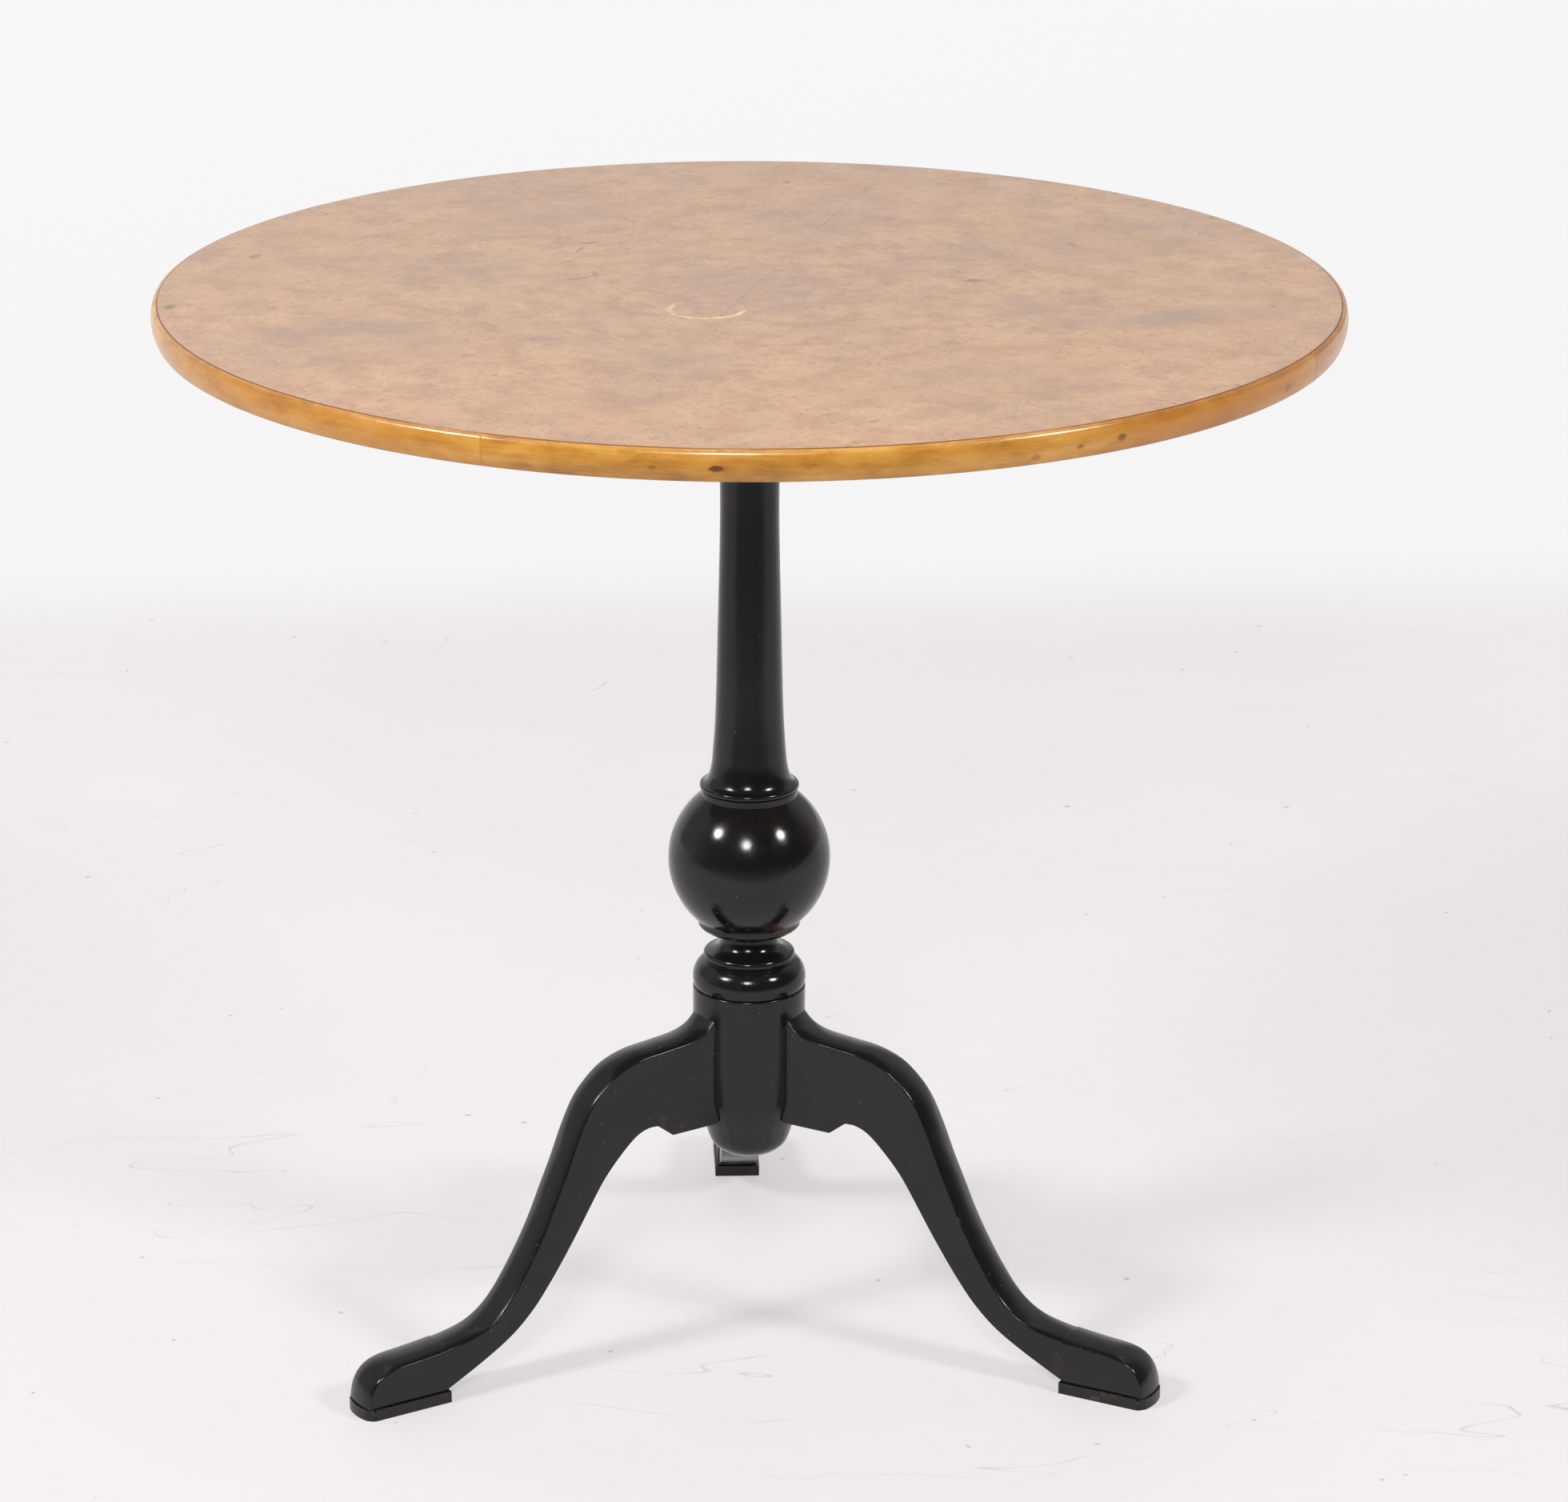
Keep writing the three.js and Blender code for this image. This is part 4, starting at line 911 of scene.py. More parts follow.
@dataclass
class TiltTop:
    """The round top: the veneer's leaves, the edging's pieces, the core and the two battens that carry it."""

    leaves: int = 8
    first_seam: float = 73.0
    seam_gap: float = 0.1
    edge_pieces: int = 4
    first_joint: float = 63.75
    joint_gap: float = 0.07
    rebate: float = 7.3
    lower_flat: float = 5.7
    leaf_slice: float = 0.0011
    piece_slice: float = 0.31
    rim_step: float = 0.5

    def __post_init__(self) -> None:
        """Reads the top's radius and heights off the frame."""
        low, high = box_mm("top_core")
        self.underside, self.glue_line = float(low[2]), float(high[2])
        self.core_radius = float(high[0])
        self.height = float(box_mm("veneer_leaf_1")[1][2])
        self.radius = max(float(box_mm(f"edging_{i + 1}")[1][0]) for i in range(self.edge_pieces))
        self.veneer_radius = self.core_radius + self.rebate

    def leaf(self, number: int) -> bpy.types.Mesh:
        """One veneer leaf: a wedge whose section runs out from the tip, over an eased rim and back underneath.
        Its pattern is its own polar place, mirrored on every other leaf so that the figure meets at the seams.

        Args:
            number: the leaf's number from 0.

        Returns:
            The mesh.
        """
        span = 2 * math.pi / self.leaves
        start = math.radians(self.first_seam) + span * number
        half_gap = self.seam_gap / 2 / self.veneer_radius
        count = int(math.degrees(span) / self.rim_step) + 1
        angle = np.linspace(start + half_gap, start + span - half_gap, count)
        middle = start + span / 2
        tip = self.seam_gap / 2 / math.sin(span / 2) * np.array([math.cos(middle), math.sin(middle)])
        rim = np.stack([np.cos(angle), np.sin(angle)], axis=1) * self.veneer_radius
        easing = bezier([[self.veneer_radius - 0.6, self.height], [self.veneer_radius, self.height],
                         [self.veneer_radius, self.height - 0.6]], 5)
        inner = np.array([0, 0.08, 0.25, 0.5, 0.75, 0.93, 0.99])[:, None] * np.array([[self.veneer_radius, 0]])
        top = np.vstack([inner + [0, self.height], easing])
        section = np.vstack([top, inner[::-1] + [0, self.glue_line + 0.02]])
        share = (section[:, 0] / self.veneer_radius)[None, :, None]
        flat = tip + share * (rim[:, None] - tip)
        rings = np.concatenate([flat, np.broadcast_to(section[None, :, 1:], (*flat.shape[:2], 1))], axis=2)
        away = np.linalg.norm(flat, axis=2)
        turn = np.arctan2(flat[..., 1], flat[..., 0]) - start
        turn = np.mod(turn + math.pi, 2 * math.pi) - math.pi
        turn = span - turn if number % 2 else turn
        pattern = np.stack([away * np.cos(turn), away * np.sin(turn)], axis=2) * MM
        mesh = shell(f"burr_leaf_{number + 1}", rings, pattern=pattern)
        mark(mesh, SLICE, np.full(len(mesh.vertices), self.leaf_slice * number))
        return mesh

    def edge_section(self) -> Array:
        """The edging's section, counter-clockwise: flat below, an eased lower corner, a flat arch up to the
        glue line, and back."""
        radius, low, high = self.radius, self.underside, self.glue_line
        lower = bezier([[radius - self.lower_flat, low], [radius - 2.3, low], [radius - 1.3, low + 3.4]], 10)
        face = np.vstack([
            bezier([[radius - 1.3, low + 3.4], [radius + 0.5, low + 8], [radius + 0.9, low + 13],
                    [radius - 0.1, low + 16.4]], 14)[:-1],
            bezier([[radius - 0.1, low + 16.4], [radius - 0.5, high - 0.5], [radius - 1.4, high + 0.9],
                    [self.veneer_radius + 0.35, high + 0.9]], 12),
        ])
        inner = self.veneer_radius + 0.12
        back = [[inner, high + 0.7], [inner, high - 0.1], [self.core_radius + 0.05, high - 0.1]]
        return np.vstack([[[self.core_radius + 0.05, low]], lower[:-1], face, back])

    def edging(self, number: int) -> bpy.types.Mesh:
        """One edging piece: the section carried round a part of the rim, drawn in a little at both ends.

        Args:
            number: the piece's number from 0.

        Returns:
            The mesh.
        """
        section = self.edge_section()
        span = 2 * math.pi / self.edge_pieces
        start = math.radians(self.first_joint) + span * number
        gap = self.joint_gap / 2 / self.radius
        ends = np.array([0, 0.25, 0.7, 1.5]) / self.radius
        middle = np.linspace(0, span - 2 * gap, int(math.degrees(span) / self.rim_step))
        places = np.unique(np.concatenate([ends, middle, span - 2 * gap - ends]))
        from_end = np.minimum(places, places[-1] - places) * self.radius
        inset = 0.12 * np.clip(1 - from_end / 0.7, 0, 1) ** 2
        along = unit(np.roll(section, -1, axis=0) - np.roll(section, 1, axis=0))
        inward = np.stack([-along[:, 1], along[:, 0]], axis=1)
        shaped = section[None] + inset[:, None, None] * inward[None]
        angle = (start + gap + places)[:, None]
        out, up = shaped[..., 0], shaped[..., 1]
        rings = np.stack([out * np.cos(angle), out * np.sin(angle), up], axis=2)
        around = np.concatenate([[0], np.cumsum(np.linalg.norm(np.diff(section, axis=0), axis=1))])
        height = np.broadcast_to(around - (self.radius - self.lower_flat - self.core_radius), shaped.shape[:2])
        length = np.broadcast_to(angle * self.radius, shaped.shape[:2])
        mesh = shell(f"birch_edging_{number + 1}", rings, pattern=np.stack([length, height], axis=2) * MM)
        mark(mesh, SLICE, np.full(len(mesh.vertices), self.piece_slice * number))
        mark_wear(mesh)
        return mesh

    def build(self) -> None:
        """Builds and dresses the top."""
        burr, birch = BurrVeneer(), BirchEdging(radius=self.radius)
        for i in range(self.leaves):
            place(self.leaf(i), f"veneer_leaf_{i + 1}", burr)
        for i in range(self.edge_pieces):
            place(self.edging(i), f"edging_{i + 1}", birch)
        panel = PlainWood("pine_boards", Slot.PINE, PINE_SHADES, board=112.0)
        pine = PlainWood("pine", Slot.PINE, PINE_SHADES)
        fit("top_core", "core_panel", panel, 0.25, 1, (1, 0, 0))
        for side in ("left", "right"):
            fit(f"batten_{side}", f"shaped_batten_{side}", pine, 1.2, grain=(0, 1, 0), worn=True)


@dataclass
class Column:
    """The turned column: shaft, ball section and hub, with softened arrises."""

    segments: int = 160
    ball_radius: float = 55.5
    ball_half_height: float = 57.0
    ball_centre: float = 342.0
    collar: float = 33.0
    rim: float = 35.0
    bowl: tuple[tuple[float, float], ...] = (
        (14, 125.8), (20.5, 128.9), (24.8, 132.6), (27.4, 137), (30.6, 146.5), (34.6, 157), (37.6, 166),
    )
    rubs: tuple[tuple[Triple, float, float], ...] = (
        ((25.5, -32.0, 304.0), 15.0, 0.42),
        ((36.0, -20.0, 369.0), 16.0, 0.1),
        ((30.5, 4.0, 415.0), 11.0, 0.2),
    )

    def shaft(self) -> Array:
        """The shaft's profile: a bead on the ball, a cove, a long slow taper that flares under the block."""
        low, _ = box_mm("column_shaft")
        block_bottom = float(box_mm("tilt_block")[0][2])
        foot, shoulder = float(low[2]) + 40.0, block_bottom - 0.3
        bead = bezier([[32.4, foot], [34.35, foot], [34.35, foot + 4.0], [32.9, foot + 4.0]], 12)
        cove = bezier([[32.1, foot + 4.2], [26.6, foot + 5.6], [25.2, foot + 23.7]], 18)
        taper = spline([[25.2, foot + 23.7], [23.2, 447], [21.6, 510], [20, 590], [21.4, 640],
                        [25.5, shoulder - 5]], 60)
        collar = eased(np.array([[27.5, shoulder - 2.4], [27.5, shoulder], [20, shoulder]]), 0.6)
        return np.vstack([[[0, foot]], bead, cove[:-1], taper, collar, [[0, shoulder]]])

    def ball_z(self, radius: float, side: int) -> float:
        """Height of the ball's surface where it has some radius: an ellipse, above its centre or below it."""
        return self.ball_centre + side * self.ball_half_height * math.sqrt(1 - (radius / self.ball_radius) ** 2)

    def ball_section(self) -> Array:
        """The ball section's profile: a torus and a fillet, a narrow neck, a thin rim, and the ball."""
        angle = np.linspace(-0.4, 1.42, 26)
        torus = np.stack([29 + 9.9 * np.cos(angle), 255.4 + 13.4 * np.sin(angle)], axis=1)
        fillet = bezier([[30.3, 269.3], [31.9, 270.6], [31.7, 273.6], [30.4, 274.6]], 12)
        neck = bezier([[30.2, 274.8], [23.6, 275.4], [19.2, 278.6], [19.2, 286]], 18)
        under = bezier([[20.6, 288.6], [29, 288.8], [34.2, 293.4]], 12)
        rim_top = self.ball_z(self.rim, -1) - 0.5
        step = [[34.2, 293.4], [self.rim, 294.4], [self.rim, rim_top], [self.rim + 0.3, rim_top + 0.8]]
        rim = eased(np.array(step), 0.5)
        lower = math.pi - math.asin((self.rim + 0.3) / self.ball_radius)
        turn = np.linspace(lower, math.asin(self.collar / self.ball_radius), 72)
        ball = np.stack([np.sin(turn) * self.ball_radius,
                         self.ball_centre + np.cos(turn) * self.ball_half_height], axis=1)
        foot = float(box_mm("column_hub")[1][2]) + 0.6
        seat = float(box_mm("column_shaft")[0][2]) + 39.7
        bottom = eased(np.array([[0, foot], [35.4, foot], torus[0]]), 0.6)
        end = [[self.collar, seat], [0, seat]]
        return np.vstack([bottom, torus[1:], fillet, neck[1:], under, rim[1:], ball[1:], end])

    def hub(self) -> Array:
        """The hub's profile: a bowl-shaped end below a straight side, with an eased top arris."""
        low, high = box_mm("column_hub")
        radius, top = float(high[0]), float(high[2])
        bowl = spline([(0, low[2]), (7, low[2] + 0.25), *self.bowl, (radius, 172)], 70)
        side = eased(np.array([[radius, 172], [radius, top], [0, top]]), 1.3, steps=7)
        return np.vstack([bowl, side[1:]])

    def build(self) -> None:
        """Builds and dresses the column."""
        finish = Ebonised(name="ebonised_turning", rubs=self.rubs)
        profiles = {"shaft": self.shaft(), "ball_section": self.ball_section(), "hub": self.hub()}
        for part, profile in profiles.items():
            mesh = shell(f"turned_{part}", turned_rings(profile, self.segments), False, True)
            mark_grain(mesh, (0, 0, 1))
            mark_wear(mesh)
            place(mesh, f"column_{part}", finish)


@dataclass
class Tripod:
    """The three sawn legs with their sole pads, dowels and brads."""

    half_thickness: float = 13.4
    foot_half_thickness: float = 14.6
    foot_shoulder: float = 249.0
    sole_end: float = 300.0
    pad_proud: float = 1.3
    pad_corner: float = 5.5
    crown_rise: float = 2.4
    arris: float = 1.1
    lower_arris: float = 0.8
    stations: int = 170
    angles: tuple[tuple[str, float], ...] = (("left", 210.0), ("right", 330.0), ("back", 90.0))
    crown: tuple[tuple[float, float], ...] = (
        (33.5, 235), (37, 231.5), (43.5, 225.2), (55, 220.8), (75, 218.4), (95, 216), (112, 210), (125, 200),
        (135, 188), (144, 170), (153, 148), (162, 128), (170, 110), (179, 93), (189, 76.5), (200, 61),
        (210.5, 50.5), (223, 43.3), (240, 39), (262, 36.2), (284, 34.4),
    )
    calf: tuple[tuple[float, float], ...] = (
        (81.5, 164.8), (90, 164.6), (100, 160), (113, 148), (125, 134), (136, 117), (146.5, 100), (157, 84),
        (169, 67), (182, 51), (198.5, 36.3), (220, 23.2), (249, 8.3),
    )
    cusp: tuple[float, float] = (69.5, 155.6)
    toe: tuple[float, float] = (309.5, 8.3)
    pairs: tuple[tuple[float, float], ...] = (
        (0, 0), (3.5, 1), (4.1, 2), (5, 3), (6.5, 3.7), (7.6, 4.4), (9, 5.3), (10, 6.1), (11, 7), (12, 8),
        (13, 9), (14, 10), (15, 10.9), (16, 11.7), (17, 12.7), (18.41, 14), (20, 14.7), (21, 15),
    )
    shoulder: int = 15
    rubs: tuple[tuple[float, ...], ...] = (
        (308, -8, 11, 6, 0.15), (246, -14, 15, 4, 0.22), (246, -14, 24, 5, 0.18),
    )

    def edges(self, station: Array) -> tuple[Array, Array]:
        """The leg's outer and inner edges at some stations, paired so that each pair spans the leg.

        Args:
            station: the stations, counted in pairs from 0.

        Returns:
            The points of the crown's arris, and those of the underside.
        """
        pairs = np.array(self.pairs)
        keys = np.arange(len(pairs))
        outer, inner = (np.interp(station, keys, pairs[:, i]) for i in (0, 1))
        crown_end, calf_end = len(self.crown) - 1, len(self.calf) + 1
        past_end = np.clip(outer - crown_end, 0, 1)[:, None]
        toe = bezier_at([self.crown[-1], (299, 33), (308, 27), self.toe], past_end)
        top = spline_at(self.crown, np.minimum(outer, crown_end))
        crown = np.where(outer[:, None] <= crown_end, top, toe)
        start = np.array([[33.5, 156.3], self.cusp, self.calf[0]])
        straight = np.stack([np.interp(inner, [0, 1, 2], start[:, i]) for i in (0, 1)], axis=1)
        curved = spline_at(self.calf, np.clip(inner - 2, 0, calf_end - 2))
        out = np.interp(inner, [calf_end, calf_end + 1], [self.foot_shoulder, self.sole_end])
        sole = np.stack([out, np.full(len(inner), self.toe[1])], axis=1)
        under = np.where(inner[:, None] < 2, straight, np.where(inner[:, None] <= calf_end, curved, sole))
        return crown, under

    def half_section(self) -> Array:
        """Half of the section, from the underside to the middle of the crown. Each row is how far in from the
        side the point is, how far up, what share of the height, whether it is measured from the crown, and its
        rise out of the crown: 1 minus the square of its place across, times the crown's rise."""
        t = np.linspace(0, 1, 6)
        none = np.zeros(6)
        lower = np.stack([(1 - t) ** 2 * self.lower_arris, t**2 * self.lower_arris, none, none, none], axis=1)
        flank = np.array([[0, 0, 1 / 3, 0, 0], [0, 0, 2 / 3, 0, 0]])
        rise = self.crown_rise * (1 - ((self.half_thickness - self.arris) / self.half_thickness) ** 2)
        arris = np.stack([t**2 * self.arris, -((1 - t) ** 2) * self.arris, none, none + 1, t**2 * rise], axis=1)
        inset = np.linspace(self.arris, self.half_thickness, 9)[1:]
        swell = self.crown_rise * (1 - ((self.half_thickness - inset) / self.half_thickness) ** 2)
        crown = np.stack([inset, inset * 0, inset * 0, inset * 0 + 1, swell], axis=1)
        return np.vstack([lower, flank, arris, crown])

    def leg(self, angle: float, name: str) -> bpy.types.Mesh:
        """One leg: the section carried from the hub to the toe between the two edges. The foot is wider from
        its shoulder on.

        Args:
            angle: degrees of the leg about the column.
            name: the mesh's name.

        Returns:
            The mesh.
        """
        last = len(self.pairs) - 1
        corners = np.add.outer([1.0, 2.0, self.shoulder], [-0.03, -0.004, 0.004, 0.03])
        station = np.unique(np.concatenate([np.linspace(0, last, self.stations), corners.ravel()]))
        crown, under = self.edges(station)
        height = np.linalg.norm(crown - under, axis=1)
        up = unit(crown - under)
        tangent = unit(np.gradient(crown, axis=0))
        out = np.stack([-tangent[:, 1], tangent[:, 0]], axis=1)
        half = self.half_section()
        section = np.vstack([half, half[::-1]])
        side = np.repeat([1.0, -1.0], len(half))
        inset, lift, share, top, rise = section.T
        width = np.where(station > self.shoulder, self.foot_half_thickness, self.half_thickness)
        across = side * (width[:, None] - inset)
        base = np.where(top[None, :, None] > 0, crown[:, None], under[:, None])
        along = (lift + share * height[:, None])[..., None]
        flat = base + up[:, None] * along + out[:, None] * rise[None, :, None]
        mesh = shell(name, np.stack([*turned(angle, flat[..., 0], across), flat[..., 1]], axis=2))
        mark_grain(mesh, (*turned(angle, 0.8, 0.0), -0.6))
        mark_wear(mesh)
        return mesh

    def shape_pad(self, angle: float, work: bmesh.types.BMesh) -> None:
        """Makes a sole pad a little wider and longer than the foot, its two toe corners rounded. The long edges
        are cut into short ones first. In a corner's square, of side 1, each point is then moved so that the
        square's outline becomes a circle's: (u, w) max(u, w) / |(u, w)|.

        Args:
            angle: degrees of the leg about the column.
            work: the pad's shape, which is changed in place.
        """
        level = [edge for edge in work.edges if abs(edge.verts[0].co.z - edge.verts[1].co.z) < WELD]
        flanks = [edge for edge in level if edge.calc_length() > 40 * MM]
        bow = [edge for edge in level if 3 * MM < edge.calc_length() < 6 * MM]
        bmesh.ops.subdivide_edges(work, edges=flanks, cuts=50)
        bmesh.ops.subdivide_edges(work, edges=bow, cuts=4)
        flat = np.array([vertex.co[:2] for vertex in work.verts]) / MM
        a, t = turned(-angle, flat[:, 0], flat[:, 1])
        half = np.abs(t).max()
        outer = np.abs(t) > half - 1
        t = np.where(outer, t * (half + self.pad_proud) / half, t)
        a = a + 1.4 * self.pad_proud * np.clip((a - self.foot_shoulder - 45) / 14, 0, 1)
        side, bend = half + self.pad_proud - self.pad_corner, self.pad_corner
        toe = a[outer].max() - bend
        u, w = (a - toe) / bend, (np.abs(t) - side) / bend
        corner = (u > 0) & (w > 0)
        pull = np.where(corner, np.maximum(u, w) / np.maximum(np.hypot(u, w), 1e-9), 1)
        a = np.where(corner, toe + u * pull * bend, a)
        t = np.where(corner, np.sign(t) * (side + w * pull * bend), t)
        for vertex, x, y in zip(work.verts, *turned(angle, a, t)):
            vertex.co.x, vertex.co.y = x * MM, y * MM

    def build(self) -> None:
        """Builds and dresses the legs and what is fixed to them."""
        rubs = tuple(
            ((*turned(angle, along, across), height), reach, strength)
            for _, angle in self.angles[:2] for along, across, height, reach, strength in self.rubs
        )
        black = Ebonised(name="ebonised_leg", polish=0.15, rubs=rubs)
        pad_black = Ebonised(
            name="ebonised_pad", polish=0.3, black=(0.0085, 0.008, 0.0078), rubbed=(0.12, 0.045, 0.024),
        )
        inner = PlainWood("dowel_wood", Slot.INNER, INNER_SHADES)
        iron = Metal("sole_iron", Slot.IRON, (0.42, 0.4, 0.38), (0.13, 0.075, 0.045), rust=0.7)
        for side, angle in self.angles:
            outward = (*turned(angle, 1.0, 0.0), 0.0)
            place(self.leg(angle, f"sawn_leg_{side}"), f"leg_{side}", black)
            shape = functools.partial(self.shape_pad, angle)
            fit(f"sole_pad_{side}", f"pad_{side}", pad_black, 0.9, grain=outward, worn=True, shape=shape)
            for i in (1, 2):
                fit(f"leg_dowel_{side}_{i}", f"dowel_{side}_{i}", inner, 0.8, grain=outward)
                fit(f"sole_brad_{side}_{i}", f"brad_{side}_{i}", iron, 0.15, 2)


@dataclass
class TiltWorks:
    """The block that the top tilts on, its pivot pins and wedge, and the brass catch with its screws. The
    slot's sizes are those of a head with a radius of slot_head, and larger heads have larger slots."""

    slot_half_width: float = 0.42
    slot_depth: float = 0.7
    slot_head: float = 2.6

    def screw(self, node: str, finish: Finish, head: float, shank: float, axis: int, outward: int) -> None:
        """Places a screw with a domed head and a slot cut across it, turned about the CAD screw's own line.

        Args:
            node: the CAD screw.
            finish: its finish.
            head: the head's radius.
            shank: the shank's radius.
            axis: the axis that the screw lies along, as 0, 1 or 2.
            outward: 1 or -1, the way that its head faces along that axis.
        """
        low, high = box_mm(node)
        length = float(high[axis] - low[axis])
        around = np.linspace(0, 2 * math.pi, 64, endpoint=False)[:, None]
        dome = np.linspace(0.001, 1, 26)
        top = np.stack([dome * head, -0.35 * dome**2 * head * 0.4], axis=1)
        stem = np.array([[head, -0.22 * head], [shank, -0.75 * head], [shank, -length + 3 * shank],
                         [shank * 0.35, -length], [0.001, -length]])
        profile = np.vstack([top, stem])
        x, y = profile[None, :, 0] * np.cos(around), profile[None, :, 0] * np.sin(around)
        drop = np.clip((self.slot_half_width * head / self.slot_head - np.abs(x)) / 0.12, 0, 1)
        on_top = np.arange(len(profile)) < len(top)
        z = profile[None, :, 1] - drop * self.slot_depth * head / self.slot_head * on_top
        spread = np.stack([x, y, z + 0 * x], axis=2)
        centre = (low + high) / 2
        centre[axis] = high[axis] if outward > 0 else low[axis]
        order = {2: (0, 1, 2), 1: (0, 2, 1)}[axis]
        rings = spread[..., order] * np.where(np.arange(3) == axis, outward, 1) + centre
        mesh = shell(f"slotted_{node}", rings, False, True)
        mark_wear(mesh)
        place(mesh, node, finish)

    def build(self) -> None:
        """Builds and dresses the block and the catch."""
        black = Ebonised(name="ebonised_block", polish=0.22)
        fit("tilt_block", "ebonised_block", black, 1.6, grain=(0, 1, 0), worn=True)
        fit("tenon_wedge", "wedge", PlainWood("wedge_wood", Slot.INNER, INNER_SHADES), 0.3, 1, (0, 0, 1))
        iron = Metal("forged_iron", Slot.IRON, (0.45, 0.43, 0.41), (0.16, 0.1, 0.065), rust=0.6)
        brass = Metal("old_brass", Slot.BRASS, (0.68, 0.45, 0.17), (0.24, 0.135, 0.045), rust=0.25)
        for side in ("left", "right"):
            fit(f"pivot_pin_{side}", f"pin_{side}", iron, 0.9, worn=True)
            for i in (1, 2, 3):
                self.screw(f"batten_screw_{side}_{i}", iron, 4.6, 2.2, 2, -1)
        for node, width in (("catch_plate", 0.35), ("catch_bolt", 0.4), ("keeper_plate", 0.35)):
            fit(node, f"brass_{node}", brass, width, worn=True)
        for i in (1, 2, 3, 4):
            self.screw(f"catch_screw_{i}", brass, 2.6, 1.2, 2, -1)
        for i in (1, 2):
            self.screw(f"keeper_screw_{i}", brass, 2.6, 1.2, 1, 1)


# Studio


@dataclass
class Studio:
    """A pale floor, a bright wall of light behind and a dim room in front, three lamps and the camera. Lengths
    are metres, angles degrees, and each lamp is an azimuth, an elevation and a power."""

    floor_reach: float = 60.0
    wall_line: float = 1.72
    pale: Colour = (0.88, 0.868, 0.876)
    paint: tuple[Colour, Colour] = ((0.8, 0.766, 0.758), (0.84, 0.81, 0.806))
    dirt: Colour = (0.7, 0.67, 0.64)
    shade: Colour = (0.42, 0.41, 0.4)
    speck: Colour = (0.42, 0.37, 0.31)
    scratch: Colour = (0.5, 0.45, 0.4)
    sky: tuple[tuple[float, float], ...] = (
        (0.0, 0.06), (0.3, 0.09), (0.44, 0.15), (0.68, 0.58),
        (0.8, 0.48), (0.9, 0.36), (0.955, 0.82), (1.0, 0.9),
    )
    lamp_reach: float = 3.0
    lamp_size: float = 0.62
    lamps: tuple[Triple, ...] = ((-62.0, 37.0, 52.0), (-6.5, 31.0, 34.0), (57.0, 35.0, 42.0))
    camera_place: Triple = (-0.1259, -3.6064, 1.6348)
    heading: float = 2.3734
    pitch: float = 18.630
    roll: float = -0.1904
    focal: float = 128.44

    def floor(self) -> None:
        """A wide painted floor, a little warmer in front than it is behind, with faint scuffs and specks. It
        glows with painted light, more towards the back, and is darker far in front.
        """
        mesh = bpy.data.meshes.new("floor")
        corners = np.array([(-1, -1, 0), (1, -1, 0), (1, 1, 0), (-1, 1, 0)]) * self.floor_reach
        mesh.from_pydata(corners.tolist(), [], [(0, 1, 2, 3)])
        floor = bpy.data.objects.new("floor", mesh)
        bpy.context.scene.collection.objects.link(floor)
        r = Recipe("pale_floor")
        where = r.object_place()
        _, y, _ = r.parts(where)
        soft = r.plus(y, r.times(r.noise(where, 1.5, 3), 0.12))
        behind = r.rise(soft, self.wall_line - 0.12, self.wall_line + 0.22)
        colour = r.mix(r.noise(where, 3.2, 4), *self.paint)
        colour = r.mix(r.rise(r.noise(where, 55, 5, 0.7), 0.5, 0.8, 0, 0.2), colour, self.dirt)
        # Towards the front the floor turns a darker grey, and its painted glow is weaker there.
        front = r.rise(y, -0.95, -1.45, 0, 0.72)
        colour = r.mix(front, colour, self.shade)
        specks = r.dots(r.warped(where, 30, 0.02), 21, 0.06, 0.02, 0.5)
        colour = r.mix(r.times(specks, 0.62), colour, self.speck)
        hair = r.noise(r.mapped(r.warped(where, 2.2, 0.2), (0.35, 2.2, 1), turn=0.35), 6, 2, 0.4)
        thin = r.rise(r.math("ABSOLUTE", r.less(hair, 0.5)), 0.0016, 0.0004)
        some = r.rise(r.noise(where, 2.6, 2), 0.52, 0.6)
        colour = r.mix(r.times(thin, some, 0.42), colour, self.scratch)
        # Painted glow: the floor gives off light in its own colour, stronger towards the back, which lifts the
        # shade under and round the table. Its base colour is halved to make room for it.
        level = r.times(r.rise(y, -0.4, 1.7, 0.52, 0.67), r.less(1.0, front))
        glow = r.vector("MULTIPLY", colour, r.joined(level, level, level))
        colour = r.mix(0.5, colour, (0.0, 0.0, 0.0))
        r.set(Base_Color=r.mix(behind, colour, (0.0, 0.0, 0.0)), Roughness=0.62, IOR=1.4)
        r.set(Emission_Color=r.mix(behind, glow, self.pale), Emission_Strength=1.0)
        r.set(Normal=r.bump(r.noise(where, 160, 4), 0.25, 0.4))
        mesh.materials.append(r.material)

    def surroundings(self) -> None:
        """Light from all round: bright from behind the table, dim from in front, pale where it is seen."""
        world = bpy.data.worlds.new("studio")
        world.use_nodes = True
        bpy.context.scene.world = world
        g = Graph(world.node_tree)
        x, y, _ = g.parts(g.node("ShaderNodeTexCoord").outputs["Generated"])
        behind = g.plus(g.times(x, -0.3), y)
        share = g.node("ShaderNodeMapRange", {0: behind, "From Min": -1.0}).outputs[0]
        light = g.ramp(share, *((position, (grey, grey, grey * 1.01)) for position, grey in self.sky))
        seen = g.mix(g.node("ShaderNodeLightPath").outputs["Is Camera Ray"], light, self.pale)
        glow = g.node("ShaderNodeBackground", {0: seen})
        g.node("ShaderNodeOutputWorld", {0: glow.outputs[0]})

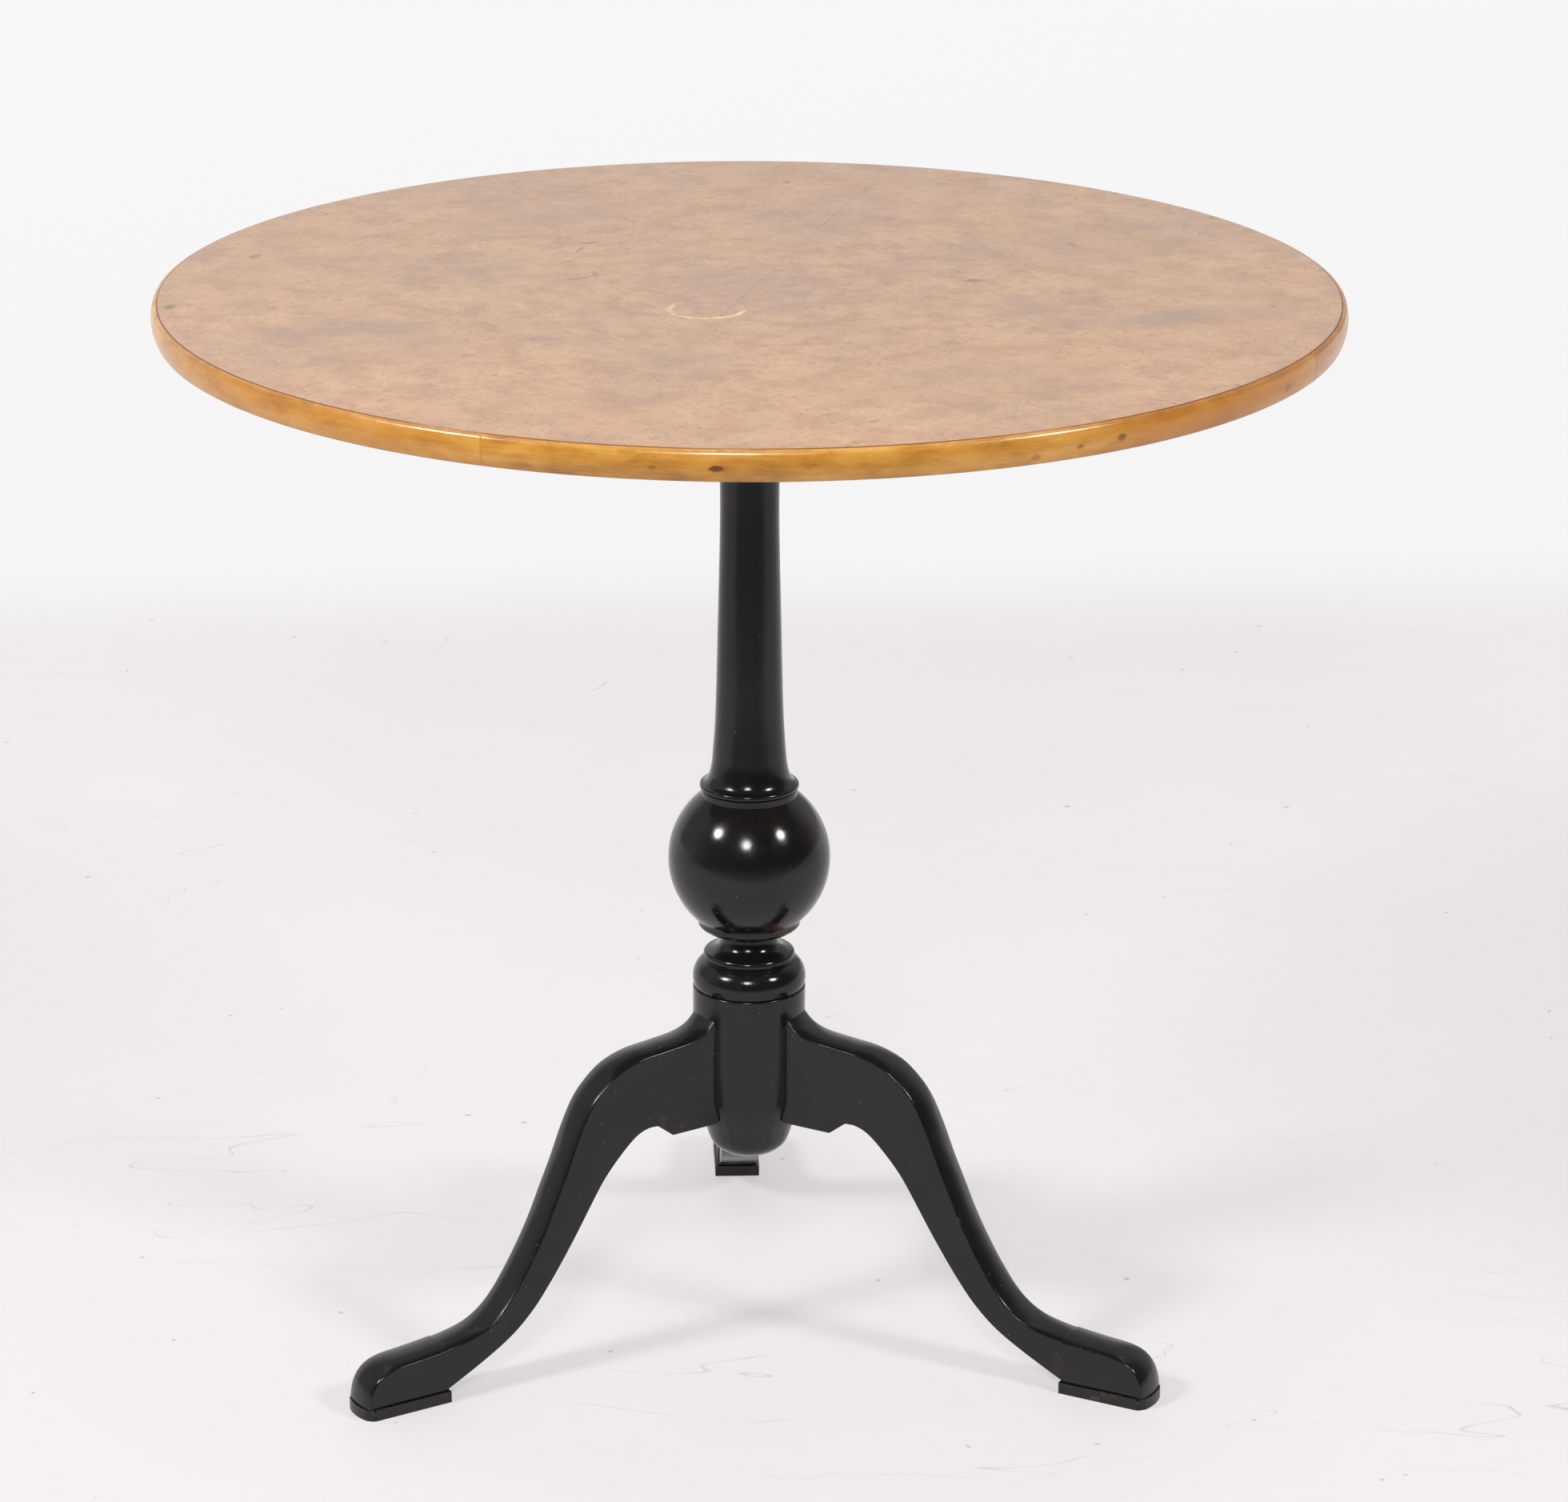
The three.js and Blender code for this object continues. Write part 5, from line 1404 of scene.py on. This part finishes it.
    def lights(self) -> None:
        """Three round soft lamps above the viewer, aimed at the column, and a broad soft light overhead."""
        target = Vector((0, 0, 0.45))
        for i, (azimuth, elevation, power) in enumerate(self.lamps):
            turn, rise = math.radians(azimuth), math.radians(elevation)
            away = Vector((math.sin(turn) * math.cos(rise), -math.cos(turn) * math.cos(rise), math.sin(rise)))
            self.lamp(f"lamp_{i + 1}", target + away * self.lamp_reach, target, self.lamp_size, power, "DISK")
        self.lamp("overhead", Vector((0, 0.4, 4.2)), Vector((0, 0.1, 0)), 3.6, 16.0, "SQUARE")

    def lamp(self, name: str, where: Vector, target: Vector, size: float, power: float, shape: str) -> None:
        """Adds an area lamp that faces a target."""
        data = bpy.data.lights.new(name, "AREA")
        data.shape, data.size, data.energy = shape, size, power
        lamp = bpy.data.objects.new(name, data)
        lamp.location = where
        lamp.rotation_euler = (where - target).to_track_quat("Z", "Y").to_euler()
        bpy.context.scene.collection.objects.link(lamp)

    def camera(self) -> None:
        """A long lens above and in front: heading from +Y towards +X, pitch downwards, and a slight roll."""
        yaw, pitch, roll = (math.radians(a) for a in (self.heading, self.pitch, self.roll))
        ahead = Vector((math.sin(yaw) * math.cos(pitch), math.cos(yaw) * math.cos(pitch), -math.sin(pitch)))
        level = Vector((math.cos(yaw), -math.sin(yaw), 0.0))
        down = ahead.cross(level)
        right = level * math.cos(roll) + down * math.sin(roll)
        up = -(down * math.cos(roll) - level * math.sin(roll))
        data = bpy.data.cameras.new("camera")
        data.sensor_fit, data.sensor_width, data.lens = "HORIZONTAL", 36.0, self.focal
        data.clip_end = 200.0
        camera = bpy.data.objects.new("camera", data)
        turn = Matrix((right, up, -ahead)).transposed().to_4x4()
        camera.matrix_world = Matrix.Translation(self.camera_place) @ turn
        bpy.context.scene.collection.objects.link(camera)
        bpy.context.scene.camera = camera

    def build(self) -> None:
        """Sets the whole studio up."""
        bpy.context.scene.view_settings.view_transform = "Standard"
        self.camera()
        self.floor()
        self.surroundings()
        self.lights()


def main() -> None:
    """Builds the studio and the table's sub-assemblies."""
    Studio().build()
    for assembly in (TiltTop(), Column(), Tripod(), TiltWorks()):
        log.info("building %s", type(assembly).__name__)
        assembly.build()


if __name__ == "__main__":
    main()
